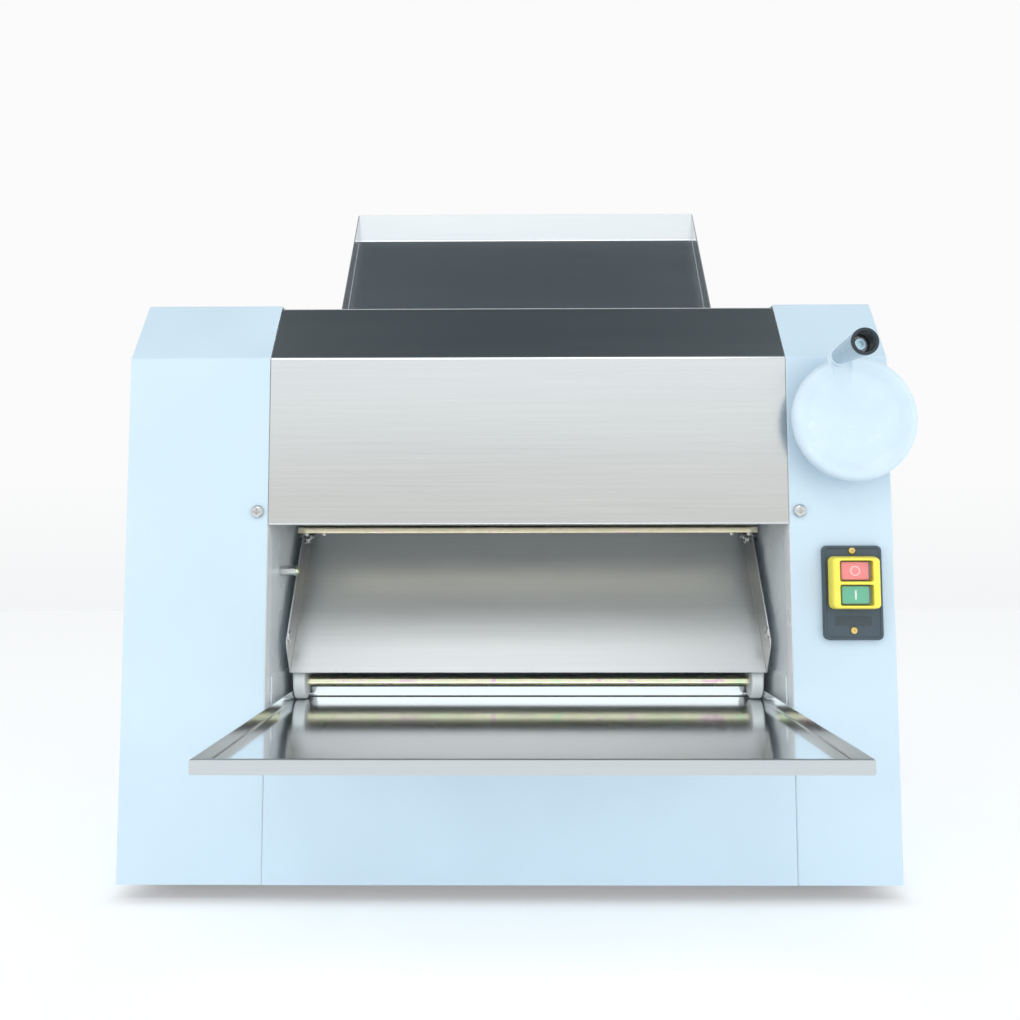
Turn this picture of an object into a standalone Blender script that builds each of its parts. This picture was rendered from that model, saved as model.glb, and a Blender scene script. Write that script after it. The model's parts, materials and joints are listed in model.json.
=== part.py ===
"""Bench-top dough sheeter: two rollers between side plates, fed from a hopper,
with a chute, a sliding catch tray, a gap handwheel and a start/stop switch.

Metres, +Z up. Every position below is in the machine frame: X = 0 is the middle of
the opening, Y = 0 is the front plane (the front faces -Y), Z = 0 is the worktop.
The machine frame itself is an empty, offset so that the world origin is under the
middle of the whole machine.
"""
import math

import bmesh
import bpy
from mathutils import Vector

# ---------------------------------------------------------------- casing
BODY_LEFT = -0.3792
BODY_RIGHT = 0.3417
BODY_BACK = 0.420
OPENING_HALF = 0.245
FOOT_HEIGHT = 0.015
FOLD_Z = 0.5017
BEVEL_DEPTH = 0.048
HOUSING_TOP = 0.563
HOOD_TOP = 0.560
HOOD_BOTTOM = 0.343
PAINTED_SHEET = 0.0015
RETURN_FLANGE = 0.018
STEEL_SHEET = 0.0012
SIDE_PLATE = 0.008
GAP = 0.0003

# ---------------------------------------------------------------- rollers and drive
ROLLER_RADIUS = 0.048
ROLLER_HALF = 0.238
JOURNAL_RADIUS = 0.012
FRONT_AXIS = Vector((0.0, 0.095, 0.4735))
NIP_CLOSED = 0.001
NIP_TRAVEL = 0.008
FEED_SLOPE = math.radians(52)
ALONG_FEED = Vector((0.0, math.cos(FEED_SLOPE), math.sin(FEED_SLOPE)))
GAP_DIRECTION = Vector((0.0, math.sin(FEED_SLOPE), -math.cos(FEED_SLOPE)))
REAR_AXIS = FRONT_AXIS + GAP_DIRECTION * (2 * ROLLER_RADIUS + NIP_CLOSED)
CARRIAGE_BAR_OFFSET = 0.060
CARRIAGE_BAR_RADIUS = 0.008
GEAR_TEETH = 20
CHAIN_PITCH = 0.0145
ROLLER_SPROCKET_TEETH = 18
OUTPUT_SPROCKET_TEETH = 12
OUTPUT_AXIS = Vector((0.0, 0.320, 0.262))
BEARING_X = (OPENING_HALF + SIDE_PLATE + GAP, 0.271)
GEAR_X = (0.276, 0.294)
CHAIN_X = (0.298, 0.310)

# ---------------------------------------------------------------- chute, wheels and tray
CHUTE_HALF = 0.2356
CHUTE_SLOPE = math.radians(54)
CHUTE_LIP = Vector((0.0, 0.065, 0.1983))
CHUTE_LENGTH = 0.1727
FLANGE_HEIGHT = 0.0355
ALONG_CHUTE = Vector((0.0, math.cos(CHUTE_SLOPE), math.sin(CHUTE_SLOPE)))
OFF_CHUTE = Vector((0.0, -math.sin(CHUTE_SLOPE), math.cos(CHUTE_SLOPE)))
CHUTE_HINGE = CHUTE_LIP + ALONG_CHUTE * 0.160 + OFF_CHUTE * 0.010
HINGE_PIN_RADIUS = 0.004
TRAY_HALF = 0.2345
TRAY_LIP_HALF = 0.235
TRAY_FRONT = -0.268
TRAY_BACK = 0.106
TRAY_BOTTOM = 0.1692
TRAY_FLOOR = 0.1704
TRAY_RIM_TOP = 0.180
TRAY_RIM = 0.0010
TRAY_LIP = 0.003
WHEEL_RADIUS = 0.0179
WHEEL_X = (0.2212, 0.2330)
WHEEL_AXIS = Vector((0.0, 0.086, TRAY_FLOOR + GAP + WHEEL_RADIUS))
ROD_RADIUS = 0.005
ROD_HALF = 0.2354
STOP_PIN = Vector((-OPENING_HALF, 0.059, 0.299))

# ---------------------------------------------------------------- hopper
HOPPER_HALF = 0.2134
HOPPER_KNEE = Vector((0.0, 0.3495, 0.708))
HOPPER_LIP_TOP = 0.743
HOPPER_RIM = 0.027
THROAT_BACK = 0.110

# ---------------------------------------------------------------- handwheel and switch
HANDWHEEL = Vector((0.301, 0.0, 0.440))
WHEEL_RIM_RADIUS = 0.0580
HANDLE_RADIUS = 0.0590
HANDLE_ANGLE = math.radians(103.5)
HANDLE_AXIS = HANDWHEEL + HANDLE_RADIUS * Vector((math.cos(HANDLE_ANGLE), 0.0, math.sin(HANDLE_ANGLE)))
HANDLE_END = -0.1085
SWITCH = Vector((0.3010, 0.0, 0.2892))
SWITCH_PLATE_Z = 0.2798
SWITCH_PLATE_FRONT = -0.0063
SWITCH_FRAME_FRONT = -0.0190
BUTTON_SIZE = (0.0253, 0.0165)
BUTTON_SPACING = 0.0220
BUTTON_REACH = 0.0140
PANEL_SCREW = Vector((0.255, 0.0, 0.356))
GLAND_REACH = 0.014

# The world origin is under the middle of the machine's outer box.
FRAME_OFFSET = Vector((
    -(BODY_LEFT + HANDWHEEL.x + WHEEL_RIM_RADIUS) / 2,
    -(TRAY_FRONT + BODY_BACK + GLAND_REACH) / 2,
    0.0,
))

# ---------------------------------------------------------------- materials
FINISHES = {
    "painted_steel": ((0.66, 0.79, 0.88), 0.35, 0.0),
    "brushed_steel": ((0.62, 0.61, 0.59), 0.30, 1.0),
    "mild_steel": ((0.35, 0.35, 0.36), 0.45, 1.0),
    "yellow_zinc": ((0.72, 0.60, 0.38), 0.35, 1.0),
    "nylon": ((0.86, 0.87, 0.86), 0.45, 0.0),
    "white_gloss": ((0.84, 0.90, 0.95), 0.20, 0.0),
    "grey_handle": ((0.42, 0.52, 0.60), 0.25, 0.0),
    "motor_grey": ((0.20, 0.24, 0.27), 0.55, 0.2),
    "slate_plastic": ((0.05, 0.07, 0.09), 0.40, 0.0),
    "yellow_plastic": ((0.90, 0.72, 0.03), 0.30, 0.0),
    "red_plastic": ((0.80, 0.12, 0.12), 0.30, 0.0),
    "green_plastic": ((0.02, 0.38, 0.18), 0.30, 0.0),
    "rubber": ((0.03, 0.03, 0.03), 0.80, 0.0),
}

# Local Z of a turned piece or a plate, laid along each machine axis.
TURN_TO = {"X": (0.0, math.radians(90), 0.0), "Y": (math.radians(-90), 0.0, 0.0), "Z": (0.0, 0.0, 0.0)}
PLATE_TO = {"X": (math.radians(90), 0.0, math.radians(90)), "Y": (math.radians(90), 0.0, 0.0), "Z": (0.0, 0.0, 0.0)}


# ================================================================ scene and placing
def clear_scene():
    for item in list(bpy.data.objects):
        bpy.data.objects.remove(item, do_unlink=True)


def make_collection(name):
    collection = bpy.data.collections.new(name)
    bpy.context.scene.collection.children.link(collection)
    return collection


def make_material(name):
    color, roughness, metallic = FINISHES[name]
    material = bpy.data.materials.new(name)
    material.use_nodes = True
    shader = material.node_tree.nodes["Principled BSDF"]
    shader.inputs["Base Color"].default_value = (*color, 1.0)
    shader.inputs["Roughness"].default_value = roughness
    shader.inputs["Metallic"].default_value = metallic
    return material


def make_pivot(name, location, parent=None):
    """An empty on a joint's axis; its pieces are parented to it."""
    empty = bpy.data.objects.new(name, None)
    PARTS.objects.link(empty)
    empty.empty_display_size = 0.03
    empty["place"] = tuple(location)
    if parent is None:
        empty.location = location
    else:
        empty.parent = parent
        empty.location = Vector(location) - Vector(parent["place"])
    return empty


def place(item, location, parent=None):
    """Puts an object at a place in the machine frame, under its pivot."""
    pivot = parent or MACHINE
    item.parent = pivot
    item.location = Vector(location) - Vector(pivot["place"])


def make_object(name, mesh, finish, location, rotation=(0.0, 0.0, 0.0), parent=None):
    item = bpy.data.objects.new(name, mesh)
    item.rotation_euler = rotation
    place(item, location, parent)
    if finish is None:
        CUTTERS.objects.link(item)
        item.hide_render = True
        item.display_type = "WIRE"
    else:
        PARTS.objects.link(item)
        mesh.materials.append(MATERIALS[finish])
    return item


# ================================================================ basic shapes
def make_box(name, low, high, finish, parent=None):
    low = Vector(low)
    high = Vector(high)
    mesh = bpy.data.meshes.new(name)
    shape = bmesh.new()
    bmesh.ops.create_cube(shape, size=1.0)
    bmesh.ops.scale(shape, vec=high - low, verts=shape.verts)
    shape.to_mesh(mesh)
    shape.free()
    return make_object(name, mesh, finish, (low + high) / 2, parent=parent)


def make_turned(name, profile, location, axis, finish, parent=None, steps=32, closed=False):
    """A turned piece. The profile is (radius, height) points down its outer side;
    a closed profile goes back up the bore, which makes a ring."""
    mesh = bpy.data.meshes.new(name)
    shape = bmesh.new()
    points = [shape.verts.new((radius, 0.0, height)) for radius, height in profile]
    for upper, lower in zip(points, points[1:]):
        shape.edges.new((upper, lower))
    if closed:
        shape.edges.new((points[-1], points[0]))
    shape.to_mesh(mesh)
    shape.free()
    item = make_object(name, mesh, finish, location, TURN_TO[axis], parent)
    screw = item.modifiers.new("turn", "SCREW")
    screw.steps = steps
    screw.render_steps = steps
    screw.use_merge_vertices = True
    screw.merge_threshold = 0.00001
    return item


def make_cylinder(name, radius, low, high, location, axis, finish, parent=None, steps=32):
    profile = [(0.0, high), (radius, high), (radius, low), (0.0, low)]
    return make_turned(name, profile, location, axis, finish, parent, steps)


def make_ring(name, outer, inner, low, high, location, axis, finish, parent=None, steps=32):
    profile = [(outer, high), (outer, low), (inner, low), (inner, high)]
    return make_turned(name, profile, location, axis, finish, parent, steps, closed=True)


def make_plate(name, outlines, low, high, axis, finish, location=(0.0, 0.0, 0.0), parent=None):
    """A flat piece: an outline and its holes, extruded from low to high along the axis."""
    curve = bpy.data.curves.new(name, "CURVE")
    curve.dimensions = "2D"
    curve.fill_mode = "BOTH"
    curve.extrude = (high - low) / 2
    for outline in outlines:
        spline = curve.splines.new("POLY")
        spline.points.add(len(outline) - 1)
        for point, (across, up) in zip(spline.points, outline):
            point.co = (across, up, 0.0, 1.0)
        spline.use_cyclic_u = True
    outline_object = bpy.data.objects.new(name + "_outline", curve)
    CUTTERS.objects.link(outline_object)
    evaluated = outline_object.evaluated_get(bpy.context.evaluated_depsgraph_get())
    mesh = bpy.data.meshes.new_from_object(evaluated)
    bpy.data.objects.remove(outline_object)
    mesh.materials.clear()
    shape = bmesh.new()
    shape.from_mesh(mesh)
    bmesh.ops.remove_doubles(shape, verts=shape.verts, dist=0.00001)
    bmesh.ops.recalc_face_normals(shape, faces=shape.faces)
    shape.to_mesh(mesh)
    shape.free()
    middle = Vector(location)
    middle["XYZ".index(axis)] += (low + high) / 2
    return make_object(name, mesh, finish, middle, PLATE_TO[axis], parent)


def make_shell(name, outline, kept, caps, low, high, thickness, finish, bend=0.002, parent=None,
               location=(0.0, 0.0, 0.0), flange=0.0):
    """A folded sheet: an outline in the YZ plane run along X. Only the kept sides and
    end caps stay, and the sheet's thickness goes inwards. A flange turns the open end
    of the first side back into the machine."""
    mesh = bpy.data.meshes.new(name)
    shape = bmesh.new()
    ends = [[shape.verts.new((x, *point)) for point in outline] for x in (low, high)]
    cap_faces = {"low": shape.faces.new(ends[0]), "high": shape.faces.new(ends[1])}
    count = len(outline)
    sides = []
    for index in range(count):
        after = (index + 1) % count
        sides.append(shape.faces.new((ends[0][index], ends[0][after], ends[1][after], ends[1][index])))
    bmesh.ops.recalc_face_normals(shape, faces=shape.faces)
    dropped = [face for index, face in enumerate(sides) if index not in kept]
    dropped += [face for end, face in cap_faces.items() if end not in caps]
    bmesh.ops.delete(shape, geom=dropped, context="FACES")
    if flange:
        open_end = ends[0] if "low" not in caps else ends[1]
        edge = shape.edges.get((open_end[0], open_end[1]))
        extruded = bmesh.ops.extrude_edge_only(shape, edges=[edge])["geom"]
        moved = [part for part in extruded if isinstance(part, bmesh.types.BMVert)]
        bmesh.ops.translate(shape, vec=(0.0, flange, 0.0), verts=moved)
        bmesh.ops.recalc_face_normals(shape, faces=shape.faces)
    shape.to_mesh(mesh)
    shape.free()
    item = make_object(name, mesh, finish, location, parent=parent)
    round_edges(item, bend, 2)
    solidify = item.modifiers.new("sheet", "SOLIDIFY")
    solidify.thickness = thickness
    solidify.offset = -1.0
    solidify.use_even_offset = True
    return item


# ================================================================ modifiers
def round_edges(item, width, segments=2):
    bevel = item.modifiers.new("round", "BEVEL")
    bevel.width = width
    bevel.segments = segments
    bevel.limit_method = "ANGLE"


def cut(item, cutter):
    boolean = item.modifiers.new("cut_" + cutter.name, "BOOLEAN")
    boolean.operation = "DIFFERENCE"
    boolean.object = cutter


def join(item, added):
    boolean = item.modifiers.new("join_" + added.name, "BOOLEAN")
    boolean.operation = "UNION"
    boolean.object = added


# ================================================================ outlines
def circle(centre, radius, count=24):
    angles = [math.tau * step / count for step in range(count)]
    return [(centre[0] + radius * math.cos(a), centre[1] + radius * math.sin(a)) for a in angles]


def rectangle(low, high):
    return [(low[0], low[1]), (high[0], low[1]), (high[0], high[1]), (low[0], high[1])]


def rounded_rectangle(centre, width, height, radius, steps=4):
    points = []
    corners = ((1, 1, 0), (-1, 1, 90), (-1, -1, 180), (1, -1, 270))
    for side, level, start in corners:
        middle = (centre[0] + side * (width / 2 - radius), centre[1] + level * (height / 2 - radius))
        for step in range(steps + 1):
            angle = math.radians(start + 90 * step / steps)
            points.append((middle[0] + radius * math.cos(angle), middle[1] + radius * math.sin(angle)))
    return points


def slot(start, end, radius, steps=8):
    """A long hole with round ends, from one centre to the other."""
    heading = math.atan2(end[1] - start[1], end[0] - start[0])
    points = []
    for centre, first in ((end, heading - math.pi / 2), (start, heading + math.pi / 2)):
        for step in range(steps + 1):
            angle = first + math.pi * step / steps
            points.append((centre[0] + radius * math.cos(angle), centre[1] + radius * math.sin(angle)))
    return points


def turned_outline(points, centre, heading):
    """Moves an outline drawn about the origin to a centre and turns it."""
    cosine = math.cos(heading)
    sine = math.sin(heading)
    return [(centre[0] + x * cosine - y * sine, centre[1] + x * sine + y * cosine) for x, y in points]


def toothed_wheel(centre, teeth, root, tip, root_width, tip_width, phase):
    """A wheel with straight-sided teeth; phase is the first tooth's direction."""
    points = []
    for tooth in range(teeth):
        middle = phase + math.tau * tooth / teeth
        corners = ((root, -root_width), (tip, -tip_width), (tip, tip_width), (root, root_width))
        for radius, width in corners:
            angle = middle + width / (2 * radius)
            points.append((centre[0] + radius * math.cos(angle), centre[1] + radius * math.sin(angle)))
    return points


def chain_loop(centre_a, radius_a, centre_b, radius_b, steps=16):
    """The tight loop round two circles."""
    offset = (centre_b[0] - centre_a[0], centre_b[1] - centre_a[1])
    heading = math.atan2(offset[1], offset[0])
    half = math.acos((radius_a - radius_b) / math.hypot(*offset))
    points = []
    for step in range(steps + 1):
        angle = heading + half + (math.tau - 2 * half) * step / steps
        points.append((centre_a[0] + radius_a * math.cos(angle), centre_a[1] + radius_a * math.sin(angle)))
    for step in range(steps + 1):
        angle = heading - half + 2 * half * step / steps
        points.append((centre_b[0] + radius_b * math.cos(angle), centre_b[1] + radius_b * math.sin(angle)))
    return points


def sheet_outline(path, thickness, bend, steps=3):
    """The closed outline of a bent sheet: its outer path, and the same path offset to
    the path's right by the thickness, with every bend rounded."""
    outer = fillet(path, bend, steps)
    inner = []
    for index, point in enumerate(outer):
        before = outer[max(index - 1, 0)]
        after = outer[min(index + 1, len(outer) - 1)]
        first = unit(before, point) if index else unit(point, after)
        second = unit(point, after) if index < len(outer) - 1 else first
        normal = (first[1] + second[1], -first[0] - second[0])
        length = math.hypot(*normal)
        reach = thickness / math.cos(math.acos(min(1.0, first[0] * second[0] + first[1] * second[1])) / 2)
        inner.append((point[0] + normal[0] / length * reach, point[1] + normal[1] / length * reach))
    return outer + inner[::-1]


def unit(start, end):
    length = math.hypot(end[0] - start[0], end[1] - start[1])
    return ((end[0] - start[0]) / length, (end[1] - start[1]) / length)


def fillet(path, bend, steps):
    """Replaces each corner of a path with a short curve that starts and ends a bend away."""
    points = [path[0]]
    for before, corner, after in zip(path, path[1:], path[2:]):
        back = unit(corner, before)
        on = unit(corner, after)
        for step in range(steps + 1):
            t = step / steps
            weights = ((1 - t) ** 2 * bend, t ** 2 * bend)
            points.append(tuple(corner[k] + back[k] * weights[0] + on[k] * weights[1] for k in (0, 1)))
    points.append(path[-1])
    return points


def yz(point):
    return (point.y, point.z)


# ================================================================ casing
def housing_outline():
    return [
        (0.0, FOOT_HEIGHT),
        (0.0, FOLD_Z),
        (BEVEL_DEPTH, HOUSING_TOP),
        (BODY_BACK, HOUSING_TOP),
        (BODY_BACK, FOOT_HEIGHT),
    ]


def build_housings():
    left = make_shell("left_housing", housing_outline(), (0, 1, 2, 3), ("low",), BODY_LEFT,
                      -OPENING_HALF, PAINTED_SHEET, "painted_steel", flange=RETURN_FLANGE)
    right = make_shell("right_housing", housing_outline(), (0, 1, 2, 3), ("high",), OPENING_HALF,
                       BODY_RIGHT, PAINTED_SHEET, "painted_steel", flange=RETURN_FLANGE)
    spindle_hole = make_cylinder("spindle_hole", 0.010, -0.01, 0.01, HANDWHEEL, "Y", None)
    switch_hole = make_box("switch_hole", (SWITCH.x - 0.022, -0.01, SWITCH.z - 0.026),
                           (SWITCH.x + 0.022, 0.01, SWITCH.z + 0.026), None)
    gland_hole = make_cylinder("gland_hole", 0.009, -0.01, 0.01, (-0.300, BODY_BACK, 0.070), "Y", None)
    cut(right, spindle_hole)
    cut(right, switch_hole)
    cut(left, gland_hole)


def build_base():
    wall = PAINTED_SHEET + GAP
    make_box("base_plate", (BODY_LEFT + wall, RETURN_FLANGE + GAP, FOOT_HEIGHT + GAP),
             (BODY_RIGHT - wall, BODY_BACK - wall, FOOT_HEIGHT + GAP + 0.0025), "mild_steel")
    foot = [(0.0, FOOT_HEIGHT), (0.019, FOOT_HEIGHT), (0.019, 0.006), (0.016, 0.0), (0.0, 0.0)]
    for row, y in (("front", 0.070), ("rear", 0.370)):
        for side, x in (("left", -0.320), ("right", 0.284)):
            make_turned(f"foot_{row}_{side}", foot, (x, y, 0.0), "Z", "rubber", steps=20)


def build_side_plates():
    """The structural plates that carry the rollers, with a slot for the moving roller."""
    outline = [(0.019, 0.0185), (0.416, 0.0185), (0.416, 0.545), (0.052, 0.545), (0.019, 0.500)]
    travel = GAP_DIRECTION * NIP_TRAVEL
    bar = REAR_AXIS + GAP_DIRECTION * CARRIAGE_BAR_OFFSET
    holes = [
        circle(yz(FRONT_AXIS), 0.014),
        slot(yz(REAR_AXIS), yz(REAR_AXIS + travel), 0.013),
        slot(yz(bar), yz(bar + travel), CARRIAGE_BAR_RADIUS + 0.001),
    ]
    left_holes = holes + [circle(yz(OUTPUT_AXIS), 0.014)]
    outer = OPENING_HALF + SIDE_PLATE
    make_plate("left_side_plate", [outline, *left_holes], -outer, -OPENING_HALF, "X", "painted_steel")
    make_plate("right_side_plate", [outline, *holes], OPENING_HALF, outer, "X", "painted_steel")
    for name, y, z in (("lower_tie_bar", 0.385, 0.060), ("upper_tie_bar", 0.370, 0.520)):
        half = OPENING_HALF - GAP
        make_cylinder(name, 0.009, -half, half, (0.0, y, z), "X", "mild_steel", steps=16)


def build_hood():
    """Stainless front cover: lip, front, bevel, top and a throat fold above the roller."""
    half = OPENING_HALF - GAP
    path = [(0.012, HOOD_BOTTOM), (0.0, HOOD_BOTTOM), (0.0, FOLD_Z), (BEVEL_DEPTH, HOOD_TOP),
            (0.236, HOOD_TOP)]
    outline = sheet_outline(path, STEEL_SHEET, 0.0025)
    hood = make_plate("hood", [outline], -half, half, "X", "brushed_steel")
    mouth_half = HOPPER_HALF + GAP
    mouth = make_box("mouth_cut", (-mouth_half, THROAT_BACK, HOOD_TOP - 0.01),
                     (mouth_half, 0.30, HOOD_TOP + 0.01), None)
    cut(hood, mouth)
    guard_path = [(0.098, HOOD_TOP - STEEL_SHEET - GAP), (0.108, HOOD_TOP - STEEL_SHEET - GAP),
                  (0.111, 0.527)]
    make_plate("throat_guard", [sheet_outline(guard_path, STEEL_SHEET, 0.002)], -HOPPER_HALF,
               HOPPER_HALF, "X", "brushed_steel")


def build_panels():
    half = OPENING_HALF - GAP
    front_path = [(0.0, FOOT_HEIGHT), (0.0, 0.1655), (0.016, 0.1655)]
    make_plate("lower_front_panel", [sheet_outline(front_path, PAINTED_SHEET, 0.002)], -half, half,
               "X", "painted_steel")
    rear_path = [(0.2415, HOOD_TOP), (BODY_BACK, HOOD_TOP), (BODY_BACK, FOOT_HEIGHT)]
    make_plate("rear_cover", [sheet_outline(rear_path, PAINTED_SHEET, 0.002)], -half, half, "X",
               "painted_steel")


def build_hopper():
    """Inclined plate with a vertical back lip and low side rims."""
    off_feed = Vector((0.0, -math.sin(FEED_SLOPE), math.cos(FEED_SLOPE)))
    nip = FRONT_AXIS + GAP_DIRECTION * (ROLLER_RADIUS + NIP_CLOSED / 2)
    foot = nip + ALONG_FEED * 0.045
    knee = foot + ALONG_FEED * ((HOPPER_KNEE.z - foot.z) / ALONG_FEED.z)
    outline = [
        yz(foot),
        yz(knee),
        (knee.y, HOPPER_LIP_TOP),
        (knee.y - 0.121, 0.599),
        yz(foot + off_feed * HOPPER_RIM),
    ]
    make_shell("hopper", outline, (0, 1), ("low", "high"), -HOPPER_HALF, HOPPER_HALF, STEEL_SHEET,
               "brushed_steel", bend=0.0015)


# ================================================================ rollers and drive
def roller_profile(left_end, right_end):
    return [
        (0.0, right_end), (JOURNAL_RADIUS, right_end), (JOURNAL_RADIUS, ROLLER_HALF),
        (ROLLER_RADIUS - 0.001, ROLLER_HALF), (ROLLER_RADIUS, ROLLER_HALF - 0.001),
        (ROLLER_RADIUS, 0.001 - ROLLER_HALF), (ROLLER_RADIUS - 0.001, -ROLLER_HALF),
        (JOURNAL_RADIUS, -ROLLER_HALF), (JOURNAL_RADIUS, left_end), (0.0, left_end),
    ]


def gear_outlines(axis, phase):
    """A long-toothed gear, which stays in mesh while the rollers open."""
    pitch_radius = (2 * ROLLER_RADIUS + NIP_CLOSED) / 2
    wheel = toothed_wheel(yz(axis), GEAR_TEETH, pitch_radius - 0.0065, pitch_radius + 0.0055,
                          0.0092, 0.003, phase)
    return [wheel, circle(yz(axis), JOURNAL_RADIUS + GAP)]


def build_rollers(front_pivot, rear_pivot):
    heading = math.atan2(GAP_DIRECTION.z, GAP_DIRECTION.y)
    half_tooth = math.pi / GEAR_TEETH
    make_turned("front_roller", roller_profile(-0.312, 0.272), FRONT_AXIS, "X", "nylon", front_pivot)
    make_turned("rear_roller", roller_profile(-0.296, 0.272), REAR_AXIS, "X", "nylon", rear_pivot)
    gears = (("front_gear", FRONT_AXIS, heading, front_pivot),
             ("rear_gear", REAR_AXIS, heading + math.pi + half_tooth, rear_pivot))
    for name, axis, phase, pivot in gears:
        make_plate(name, gear_outlines(axis, phase), -GEAR_X[1], -GEAR_X[0], "X", "mild_steel", parent=pivot)
    for side, sign in (("left", -1), ("right", 1)):
        low, high = sorted((sign * BEARING_X[0], sign * BEARING_X[1]))
        make_ring(f"{side}_front_bearing", 0.030, JOURNAL_RADIUS + GAP, low, high, FRONT_AXIS, "X",
                  "mild_steel", steps=24)


def build_carriage(pivot):
    """Sliding bearing blocks and the bar that joins them, in their guide frames."""
    heading = math.atan2(GAP_DIRECTION.z, GAP_DIRECTION.y)
    centre = yz(REAR_AXIS)
    bar = REAR_AXIS + GAP_DIRECTION * CARRIAGE_BAR_OFFSET
    block = turned_outline(rectangle((-0.028, -0.028), (0.070, 0.028)), centre, heading)
    frame = turned_outline(rectangle((-0.041, -0.041), (0.091, 0.041)), centre, heading)
    window = turned_outline(rectangle((-0.0284, -0.0284), (0.0788, 0.0284)), centre, heading)
    holes = [circle(centre, JOURNAL_RADIUS + GAP), circle(yz(bar), CARRIAGE_BAR_RADIUS + GAP)]
    for side, sign in (("left", -1), ("right", 1)):
        low, high = sorted((sign * BEARING_X[0], sign * BEARING_X[1]))
        make_plate(f"{side}_bearing_block", [block, *holes], low, high, "X", "mild_steel", parent=pivot)
        make_plate(f"{side}_block_guide", [frame, window], low, high, "X", "mild_steel")
    make_cylinder("carriage_bar", CARRIAGE_BAR_RADIUS, -BEARING_X[1], BEARING_X[1], bar, "X",
                  "mild_steel", pivot, steps=24)
    blade_path = [(0.2120, 0.3680), (0.2050, 0.3655), (0.1830, 0.3640)]
    blade = sheet_outline(blade_path, STEEL_SHEET, 0.002)
    make_plate("rear_scraper_blade", [blade], -0.230, 0.230, "X", "brushed_steel", parent=pivot)


def sprocket(name, axis, teeth, bore, pivot):
    pitch_radius = CHAIN_PITCH / (2 * math.sin(math.pi / teeth))
    wheel = toothed_wheel(yz(axis), teeth, pitch_radius - 0.004, pitch_radius + 0.0025, 0.0075, 0.003, 0.0)
    holes = [circle(yz(axis), bore)] if bore else []
    make_plate(name, [wheel, *holes], -CHAIN_X[1], -CHAIN_X[0], "X", "mild_steel", parent=pivot)
    return pitch_radius + 0.003


def build_drive(front_pivot, output_pivot):
    big = sprocket("roller_sprocket", FRONT_AXIS, ROLLER_SPROCKET_TEETH, JOURNAL_RADIUS + GAP, front_pivot)
    small = sprocket("output_sprocket", OUTPUT_AXIS, OUTPUT_SPROCKET_TEETH, None, output_pivot)
    inner = chain_loop(yz(FRONT_AXIS), big, yz(OUTPUT_AXIS), small)
    outer = chain_loop(yz(FRONT_AXIS), big + 0.008, yz(OUTPUT_AXIS), small + 0.008)
    make_plate("drive_chain", [outer, inner], -CHAIN_X[1] + 0.001, -CHAIN_X[0] - 0.001, "X", "mild_steel")
    shaft = make_cylinder("output_shaft", 0.010, -0.312, -0.238, OUTPUT_AXIS, "X", None, output_pivot, 24)
    join(bpy.data.objects["output_sprocket"], shaft)
    gearbox = make_box("gearbox", (-0.2375, 0.262, 0.2038), (-0.110, 0.378, 0.320), "motor_grey")
    round_edges(gearbox, 0.008, 2)
    motor = [(0.0, 0.105), (0.048, 0.105), (0.056, 0.096), (0.056, 0.050), (0.053, 0.048),
             (0.053, -0.100), (0.044, -0.1095), (0.0, -0.1095)]
    make_turned("motor_body", motor, (0.0, OUTPUT_AXIS.y, OUTPUT_AXIS.z), "X", "motor_grey")
    half = OPENING_HALF - GAP
    shelf = [(0.400, 0.215), (0.400, 0.2005), (0.250, 0.2005), (0.250, 0.215)]
    make_plate("motor_shelf", [sheet_outline(shelf, 0.003, 0.004)], -half, half, "X", "mild_steel")


def build_front_scraper():
    bar = rounded_rectangle((0.0, 0.089), 0.4686, 0.022, 0.0105)
    make_plate("scraper_bar", [bar], 0.3359, 0.3419, "Z", "yellow_zinc")
    blade_path = [(0.0945, 0.3422), (0.0905, 0.3422), (0.0880, 0.3460), (0.0700, 0.4290)]
    make_plate("front_scraper_blade", [sheet_outline(blade_path, 0.0010, 0.0015)], -0.230, 0.230, "X",
               "brushed_steel")


# ================================================================ chute, wheels and tray
def build_chute(pivot):
    top = CHUTE_LIP + ALONG_CHUTE * CHUTE_LENGTH
    outline = [
        yz(CHUTE_LIP),
        yz(top),
        yz(top + OFF_CHUTE * 0.016),
        yz(CHUTE_LIP + ALONG_CHUTE * 0.150 + OFF_CHUTE * FLANGE_HEIGHT),
        (0.0450, 0.2318),
        (0.0460, 0.2255),
    ]
    chute = make_shell("chute", outline, (0,), ("low", "high"), -CHUTE_HALF, CHUTE_HALF, STEEL_SHEET,
                       "brushed_steel", bend=0.0015, parent=pivot)
    pin_hole = make_cylinder("pin_hole", HINGE_PIN_RADIUS + 0.0004, -0.25, 0.25, CHUTE_HINGE, "X", None)
    cut(chute, pin_hole)
    weld = OFF_CHUTE * STEEL_SHEET / 2
    tab_root = CHUTE_LIP + ALONG_CHUTE * 0.020 + weld
    tab_far = CHUTE_LIP + ALONG_CHUTE * 0.052 + weld
    tab = [yz(tab_far), yz(tab_root), (0.0800, WHEEL_AXIS.z)]
    tab += [(WHEEL_AXIS.y + 0.006 * math.cos(a), WHEEL_AXIS.z + 0.006 * math.sin(a))
            for a in (math.radians(210 + 30 * step) for step in range(6))]
    hole = circle(yz(WHEEL_AXIS), ROD_RADIUS + GAP, 16)
    for side, sign in (("left", -1), ("right", 1)):
        low, high = sorted((sign * 0.2342, sign * 0.2352))
        bracket = make_plate(f"{side}_wheel_bracket", [tab, hole], low, high, "X", None, parent=pivot)
        join(chute, bracket)
        low, high = sorted((sign * 0.228, sign * (OPENING_HALF - GAP)))
        make_cylinder(f"{side}_hinge_pin", HINGE_PIN_RADIUS, low, high, CHUTE_HINGE, "X", "mild_steel",
                      steps=20)


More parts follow.
